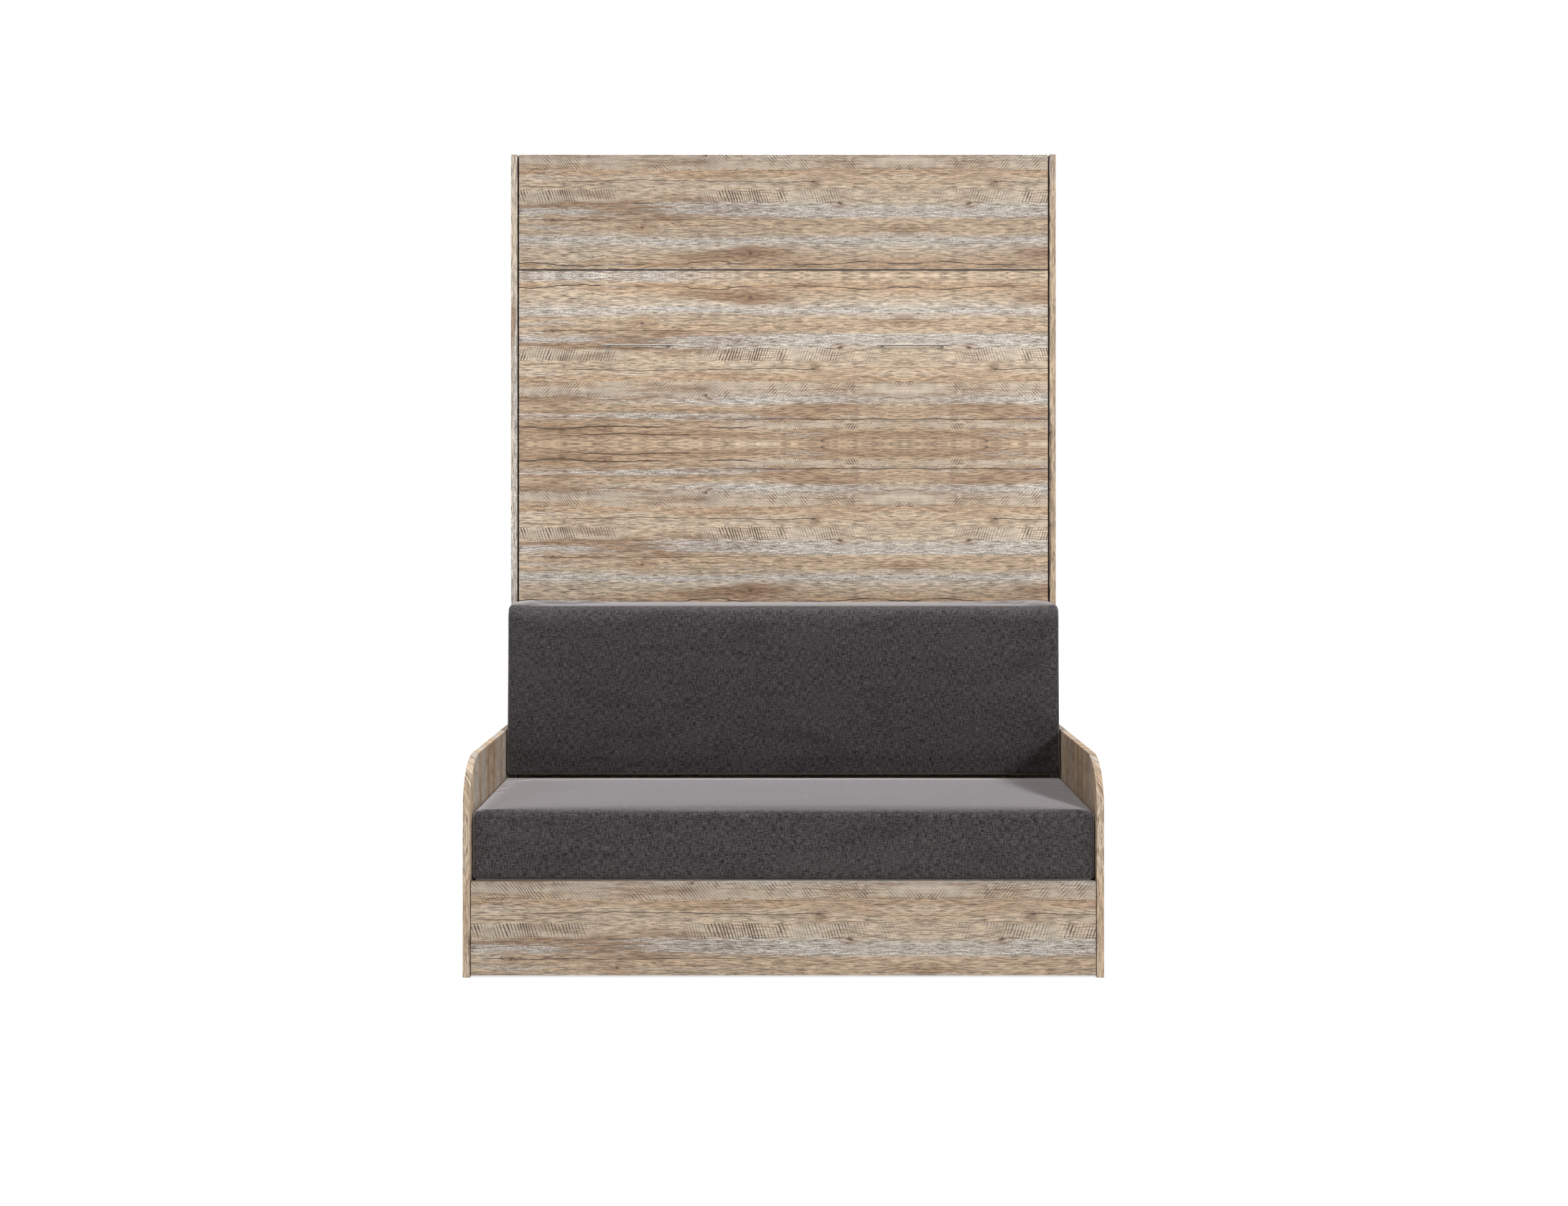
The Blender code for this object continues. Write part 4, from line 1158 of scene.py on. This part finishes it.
sewing_thread = thread_finish()
for name, value in (("top", seat_flat_top), ("bottom", seat_low.z)):
    path = edge_of_face(seat_low, seat_top_corner, seat_radii, 2, value)
    sewn_on(f"seat_seam_{name}", seat_cushion, path, seam_radius, seam_sunk_share,
            sewing_thread, "seat_unit")
for name, value in (("front", back_low.y), ("rear", back_high.y)):
    path = [back_shape(point) for point in edge_of_face(back_low, back_high, back_radii, 1, value)]
    sewn_on(f"backrest_seam_{name}", backrest_cushion, path, seam_radius, seam_sunk_share,
            sewing_thread, "bed")
for name, value in (("front", mattress_low.y), ("rear", mattress_high.y)):
    path = edge_of_face(mattress_low, mattress_high, mattress_radii, 1, value)
    sewn_on(f"mattress_tape_{name}", mattress_cover, path, tape_radius, tape_sunk_share,
            knitted_cover, "bed")
print("four seams and two tapes sewn on")

# %% [markdown]
# Two straps of woven webbing hold the mattress while the bed stands up. Each goes from one
# side rail round the mattress to the other, so its path is the outline of the mattress from
# above, a hair's breadth outside. A flat ribbon is carried along that path. Every strap has a
# plastic slide with a middle bar to shorten it.

# %% Mattress straps
strap_half_thick = 0.00075
strap_eased = 0.0006
strap_play = 0.0003
strap_corner_steps = 8
strap_cell = 0.02
lane_width = 0.0056
rib_pitch = 0.0014


def webbing_finish():
    """Herringbone: ribs that slant one way in one lane and the other way in the next."""
    f = Finish("webbing", 0.8)
    x, y, z = f.place()
    along = f.add(x, y)
    lane = f.math("PINGPONG", f.math("DIVIDE", z, lane_width), 1.0)
    slanted = f.add(along, f.times(lane, lane_width))
    ribs = f.math("PINGPONG", f.math("DIVIDE", slanted, rib_pitch), 1.0)
    fuzz = f.noise(f.times(along, 900), f.times(z, 900), detail=2)
    colour = f.mix(ribs, paint(34, 34, 36), paint(66, 66, 69))
    f.colour(f.mix(f.spread(fuzz, 0.55, 0.75, 0.0, 0.4), colour, paint(96, 96, 99)))
    f.bump(f.add(ribs, f.times(fuzz, 0.5)), 0.0003, 0.6)
    return f.material


def strap_path(near_y):
    """Place and outward direction along the strap, seen from above."""
    reach = mattress_radius + strap_half_thick + strap_play
    centre_x = mattress_high.x - mattress_radius
    centre_y = mattress_high.y - mattress_radius
    half = [(Vector((centre_x + reach, near_y, 0)), Vector((1, 0, 0)))]
    rise = round((centre_y - near_y) / strap_cell)
    for step in range(1, rise):
        y = near_y + (centre_y - near_y) * step / rise
        half.append((Vector((centre_x + reach, y, 0)), Vector((1, 0, 0))))
    for step in range(strap_corner_steps + 1):
        angle = pi / 2 * step / strap_corner_steps
        out = Vector((cos(angle), sin(angle), 0))
        half.append((Vector((centre_x, centre_y, 0)) + out * reach, out))
    count = round(centre_x / strap_cell)
    for step in range(1, count + 1):
        half.append((Vector((centre_x * (1 - step / count), centre_y + reach, 0)), Vector((0, 1, 0))))
    mirrored = []
    for place, out in reversed(half[:-1]):
        mirrored.append((Vector((-place.x, place.y, 0)), Vector((-out.x, out.y, 0))))
    return half + mirrored


def ribbon(name, path, low_z, high_z):
    """Carry a flat section with eased edges along the path."""
    t, e = strap_half_thick, strap_eased
    section = [(low_z, 0), (low_z + e, t), (high_z - e, t), (high_z, 0), (high_z - e, -t), (low_z + e, -t)]
    bm = bmesh.new()
    rings = []
    for place, out in path:
        rings.append([bm.verts.new(place + out * b + Vector((0, 0, a))) for a, b in section])
    count = len(section)
    for here, there in zip(rings, rings[1:]):
        for k in range(count):
            m = (k + 1) % count
            bm.faces.new((here[k], here[m], there[m], there[k]))
    bm.faces.new(rings[0])
    bm.faces.new(reversed(rings[-1]))
    return object_from(name, bm)


def object_from(name, bm):
    """Finish a bmesh: smooth, with sharp edges kept sharp."""
    bmesh.ops.recalc_face_normals(bm, faces=bm.faces)
    mesh = bpy.data.meshes.new(name)
    bm.to_mesh(mesh)
    bm.free()
    mesh.shade_smooth()
    mesh.set_sharp_from_angle(angle=crease_angle)
    obj = bpy.data.objects.new(name, mesh)
    bpy.context.collection.objects.link(obj)
    return obj


def rounded_bars(name, bars, radius):
    """Several little bars with round edges in one object. bars is a list of (low, high)."""
    bm = bmesh.new()
    radii = ((radius, radius),) * 3
    for low, high in bars:
        longest = max(high - low)
        bar = box_skin(*[loops_along(a, b, pair, longest) for a, b, pair in zip(low, high, radii)])
        for vert in bar.verts:
            vert.co = rounded(vert.co.copy(), low, high, radii)
        part_mesh = bpy.data.meshes.new("bar")
        bar.to_mesh(part_mesh)
        bar.free()
        bm.from_mesh(part_mesh)
        bpy.data.meshes.remove(part_mesh)
    return object_from(name, bm)


webbing = webbing_finish()
slide_place_x = 0.43
slide_half_width = 0.013
slide_sunk = 0.0008
slide_proud = 0.0036
slide_lip = 0.001
slide_rim = 0.004
slide_bar_step = 0.011
slide_bar_half = 0.0022
slide_bar_past = 0.003
slide_edge = 0.0012
for number in (1, 2):
    node = f"mattress_strap_{number}"
    low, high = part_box(node)
    strap = ribbon(f"{node}_webbing", strap_path(low.y), low.z, high.z)
    strap.data.materials.append(webbing)
    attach(strap, "bed")
    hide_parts(node)
    near = mattress_high.y - slide_sunk
    far = mattress_high.y + slide_proud
    first_x = slide_place_x - slide_half_width
    last_x = slide_place_x + slide_half_width
    bars = [(Vector((first_x, near, low.z - slide_rim)), Vector((last_x, far, low.z + slide_lip))),
            (Vector((first_x, near, high.z - slide_lip)), Vector((last_x, far, high.z + slide_rim)))]
    for shift in (-slide_bar_step, 0.0, slide_bar_step):
        x = slide_place_x + shift
        bar_low = Vector((x - slide_bar_half, near, low.z - slide_bar_past))
        bar_high = Vector((x + slide_bar_half, far, high.z + slide_bar_past))
        bars.append((bar_low, bar_high))
    strap_slide = rounded_bars(f"strap_slide_{number}", bars, slide_edge)
    strap_slide.data.materials.append(black_paint)
    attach(strap_slide, "bed")
print("two straps and their slides ready")

# %% [markdown]
# What holds all this together is small: screws with a hexagon socket on every steel plate,
# washers where the cabinet is screwed to the wall, flat caps over the screws in the outer
# faces, collars under the handle posts, caps on the castor axles and a seal where each rod
# leaves its tube. They are all turned parts, so one function revolves an outline about an
# axis, and a list says where each of them goes.

# %% Turned parts
turned_sides = 24
root_depth = 0.0004


def revolve(bm, outline, place, direction):
    """Revolve (radius, height, shape) points. A "hex" ring is drawn in to six flats."""
    turn = Vector(direction).to_track_quat("Z", "Y").to_matrix().to_4x4()
    matrix = Matrix.Translation(place) @ turn
    rings = []
    for radius, height, shape in outline:
        ring = []
        for step in range(turned_sides):
            angle = 2 * pi * step / turned_sides
            reach = radius
            if shape == "hex":
                reach *= cos(pi / 6) / cos(angle % (pi / 3) - pi / 6)
            ring.append(bm.verts.new(matrix @ Vector((reach * cos(angle), reach * sin(angle), height))))
        rings.append(ring)
    for here, there in zip(rings, rings[1:]):
        for step in range(turned_sides):
            after = (step + 1) % turned_sides
            bm.faces.new((here[step], here[after], there[after], there[step]))
    bm.faces.new(reversed(rings[0]))
    bm.faces.new(rings[-1])


def turned_parts(name, outline, places, material, body):
    """One object with a turned part at each place. places is a list of (place, direction)."""
    bm = bmesh.new()
    for place, direction in places:
        revolve(bm, outline, Vector(place), direction)
    obj = object_from(name, bm)
    obj.data.materials.append(material)
    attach(obj, body)


def screw_outline(head, height):
    """Pan head with a hexagon socket. Its shares are of the head's radius and height."""
    socket = head * 0.38
    return [(socket * 0.98, height * 0.35, "hex"), (socket, height * 0.96, "hex"),
            (head * 0.60, height, "round"), (head * 0.86, height * 0.78, "round"),
            (head, height * 0.35, "round"), (head, -root_depth, "round")]


def disc_outline(radius, height, edge):
    """A flat disc with an eased edge."""
    return [(radius * 0.3, height, "round"), (radius - edge, height, "round"),
            (radius, height - edge, "round"), (radius, -root_depth, "round")]


print("turned parts ready")

# %% Screws on the side plates and rails
screw = screw_outline(0.0047, 0.0026)
plate_thick = 0.003
plate_screw_y = 0.028
plate_screw_z = 0.072
bracket_screw_step = 0.0135
stud_flange = 0.0031
rail_screw_inset = 0.009
rail_screw_places = (0.07, 0.115)


def middle(node):
    """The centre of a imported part."""
    low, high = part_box(node)
    return (low + high) / 2


for name, side in (("left", -1), ("right", 1)):
    inward = (-side, 0, 0)
    outward = (side, 0, 0)
    plate_low, plate_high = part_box(f"pivot_plate_{name}")
    plate = middle(f"pivot_plate_{name}")
    plate_face = side * (max(abs(plate_low.x), abs(plate_high.x)) - plate_thick)
    spots = [(dy, dz) for dy in (-plate_screw_y, plate_screw_y)
             for dz in (-plate_screw_z, 0.0, plate_screw_z)]
    spots.remove((-plate_screw_y, 0.0))
    places = [((plate_face, plate.y + dy, plate.z + dz), inward) for dy, dz in spots]
    bracket = middle(f"spring_bracket_{name}")
    steps = (-bracket_screw_step, bracket_screw_step)
    corners = [(dy, dz) for dy in steps for dz in steps]
    places += [((plate_face, bracket.y + dy, bracket.z + dz), inward) for dy, dz in corners]
    turned_parts(f"cabinet_screws_{name}", screw, places, zinc, "cabinet")

    rail_low, rail_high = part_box(f"bed_rail_{name}")
    rail_face = side * max(abs(rail_low.x), abs(rail_high.x))
    stud = middle(f"spring_stud_{name}")
    flange_face = rail_face + side * stud_flange
    places = [((flange_face, stud.y + dy, stud.z + dz), outward) for dy, dz in corners]
    for z in (rail_low.z + rail_screw_inset, rail_high.z - rail_screw_inset):
        places += [((rail_face, rail_low.y + dy, z), outward) for dy in rail_screw_places]
    turned_parts(f"bed_screws_{name}", screw, places, zinc, "bed")
print(f"screws with heads of {2 * screw[-1][0] * 1000:.1f} mm in place")

# %% Caps on the outer faces
cover_cap = disc_outline(0.0065, 0.0005, 0.0003)
cabinet_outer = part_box("cabinet_side_right")[1].x
wall_rail_cap_z = 0.03
top_cap_rear = 0.10
top_cap_front = 0.14
sofa_rail_cap_z = 0.06
rails = [middle(f"wall_rail_{rail}") for rail in ("bottom", "middle", "top")]
top = middle("cabinet_top")
plinth = middle("plinth_board")
sofa_rail = middle("sofa_rear_rail")
cap_spots = [(rail.y, rail.z + dz) for rail in rails for dz in (-wall_rail_cap_z, wall_rail_cap_z)]
cap_spots += [(top.y - top_cap_front, top.z), (top.y + top_cap_rear, top.z), (plinth.y, plinth.z)]
cap_spots += [(sofa_rail.y, sofa_rail.z + dz) for dz in (-sofa_rail_cap_z, sofa_rail_cap_z)]
for name, side in (("left", -1), ("right", 1)):
    places = [((side * cabinet_outer, y, z), (side, 0, 0)) for y, z in cap_spots]
    turned_parts(f"cover_caps_{name}", cover_cap, places, laminate, "cabinet")
print(f"{len(cap_spots)} caps on each side")

# %% [markdown]
# A thin near-black strip lines the inner front edge of each cabinet side. It is painted
# shade: it makes the narrow gap beside the front read as a dark line from the room. Bare
# board would throw light back out of the gap.

# %% Painted shade strips beside the front
def gap_shade_finish():
    """Near black and matt with a fine fuzz: painted shade for the gap beside the front."""
    f = Finish("painted_gap_shade", 1.0)
    x, y, z = f.place()
    fuzz = f.noise(f.times(f.add(x, y), 1200), f.times(z, 1200), detail=2)
    f.colour(f.mix(fuzz, paint(12, 12, 12), paint(30, 29, 29)))
    f.bump(fuzz, 0.0003, 0.6)
    return f.material


painted_gap_shade = gap_shade_finish()
gap_shade_thick = 0.0008
gap_shade_deep = 0.030
gap_shade_inset = 0.001
gap_shade_edge = 0.0003
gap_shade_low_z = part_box("bed_front_panel")[0].z
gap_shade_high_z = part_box("foot_panel")[1].z - gap_shade_inset
for name, side in (("left", -1), ("right", 1)):
    board_low, board_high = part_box(f"cabinet_side_{name}")
    wall = side * min(abs(board_low.x), abs(board_high.x))
    thin_low, thin_high = sorted((wall, wall - side * gap_shade_thick))
    strip_low = Vector((thin_low, front_face_y + gap_shade_inset, gap_shade_low_z))
    strip_high = Vector((thin_high, front_face_y + gap_shade_deep, gap_shade_high_z))
    strip = rounded_bars(f"gap_shade_strip_{name}", [(strip_low, strip_high)], gap_shade_edge)
    strip.data.materials.append(painted_gap_shade)
    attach(strip, "cabinet")
# Both strips are painted shade for the gap.
print("two felt strips in place")

# %% Wall screws and handle collars
washer_screw = [(0.0020, 0.0016, "hex"), (0.0021, 0.0038, "hex"), (0.0038, 0.0042, "round"),
                (0.0058, 0.0030, "round"), (0.0060, 0.0014, "round"), (0.0095, 0.0012, "round"),
                (0.0100, 0.0008, "round"), (0.0100, -root_depth, "round")]
wall_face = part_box("wall_rail_middle")[0].y
wall_screw_x = 0.55
places = [((x, wall_face, rail.z), (0, -1, 0))
          for rail in rails for x in (-wall_screw_x, 0.0, wall_screw_x)]
turned_parts("wall_screws", washer_screw, places, zinc, "cabinet")

handle_collar = disc_outline(0.0052, 0.0016, 0.0006)
half_spacing = 0.0865
for name in ("left", "right"):
    handle = middle(f"handle_{name}")
    places = [((handle.x + dx, front_face_y, handle.z), (0, -1, 0)) for dx in (-half_spacing, half_spacing)]
    turned_parts(f"handle_collars_{name}", handle_collar, places, brushed_steel, "bed")
print("wall screws and handle collars in place")

# %% [markdown]
# The last small parts ride on the moving bodies: caps on the ends of the castor axles and
# screws under the castor plates on the seat unit, boots on the ends of the legs, which are
# soft boxes again, and a seal where the rod of each gas spring leaves its tube.

# %% Castors
axle_cap = disc_outline(0.0052, 0.0016, 0.0008)
small_screw = screw_outline(0.0027, 0.0016)
axle_half = 0.0145
castor_plate_thick = 0.003
castor_screw_x = 0.0168
castor_screw_y = 0.0175
for place_name in ("front_left", "front_right", "rear_left", "rear_right"):
    axle = middle(f"castor_roller_{place_name}")
    ends = [((axle.x + dx, axle.y, axle.z), (dx, 0, 0)) for dx in (-axle_half, axle_half)]
    turned_parts(f"axle_caps_{place_name}", axle_cap, ends, zinc, "seat_unit")
    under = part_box(f"castor_fork_{place_name}")[1].z - castor_plate_thick
    spots = [((axle.x + dx, axle.y + dy, under), (0, 0, -1))
             for dx in (-castor_screw_x, castor_screw_x) for dy in (-castor_screw_y, castor_screw_y)]
    turned_parts(f"castor_screws_{place_name}", small_screw, spots, zinc, "seat_unit")
print("castors fitted")

# %% Boots of the legs
boot_overlap = 0.0065
boot_thick = 0.0006
boot_sole = 0.0003
boot_round = 0.0018
for name in ("left", "right"):
    low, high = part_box(f"leg_{name}")
    around = Vector((boot_thick, boot_thick, 0))
    start = Vector((low.x, low.y, high.z - boot_overlap)) - around
    end = high + around + Vector((0, 0, boot_sole))
    boot = rounded_bars(f"leg_boot_{name}", [(start, end)], boot_round)
    boot.data.materials.append(grey_plastic)
    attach(boot, "bed_legs")
print("two boots fitted")

# %% Seals of the gas springs
seal = [(0.0046, 0.0034, "round"), (0.0070, 0.0036, "round"), (0.0096, 0.0022, "round"),
        (0.0104, 0.0006, "round"), (0.0104, -0.0010, "round")]
spring_reach = 0.3205
for name in ("left", "right"):
    bracket = middle(f"spring_bracket_{name}")
    stud = middle(f"spring_stud_{name}")
    line = Vector((0, stud.y - bracket.y, stud.z - bracket.z)).normalized()
    anchor = Vector((middle(f"gas_rod_{name}").x, bracket.y, bracket.z))
    turned_parts(f"gas_seal_{name}", seal, [(anchor + line * spring_reach, line)], grey_plastic,
                 f"spring_tube_{name}")
print("two seals fitted")
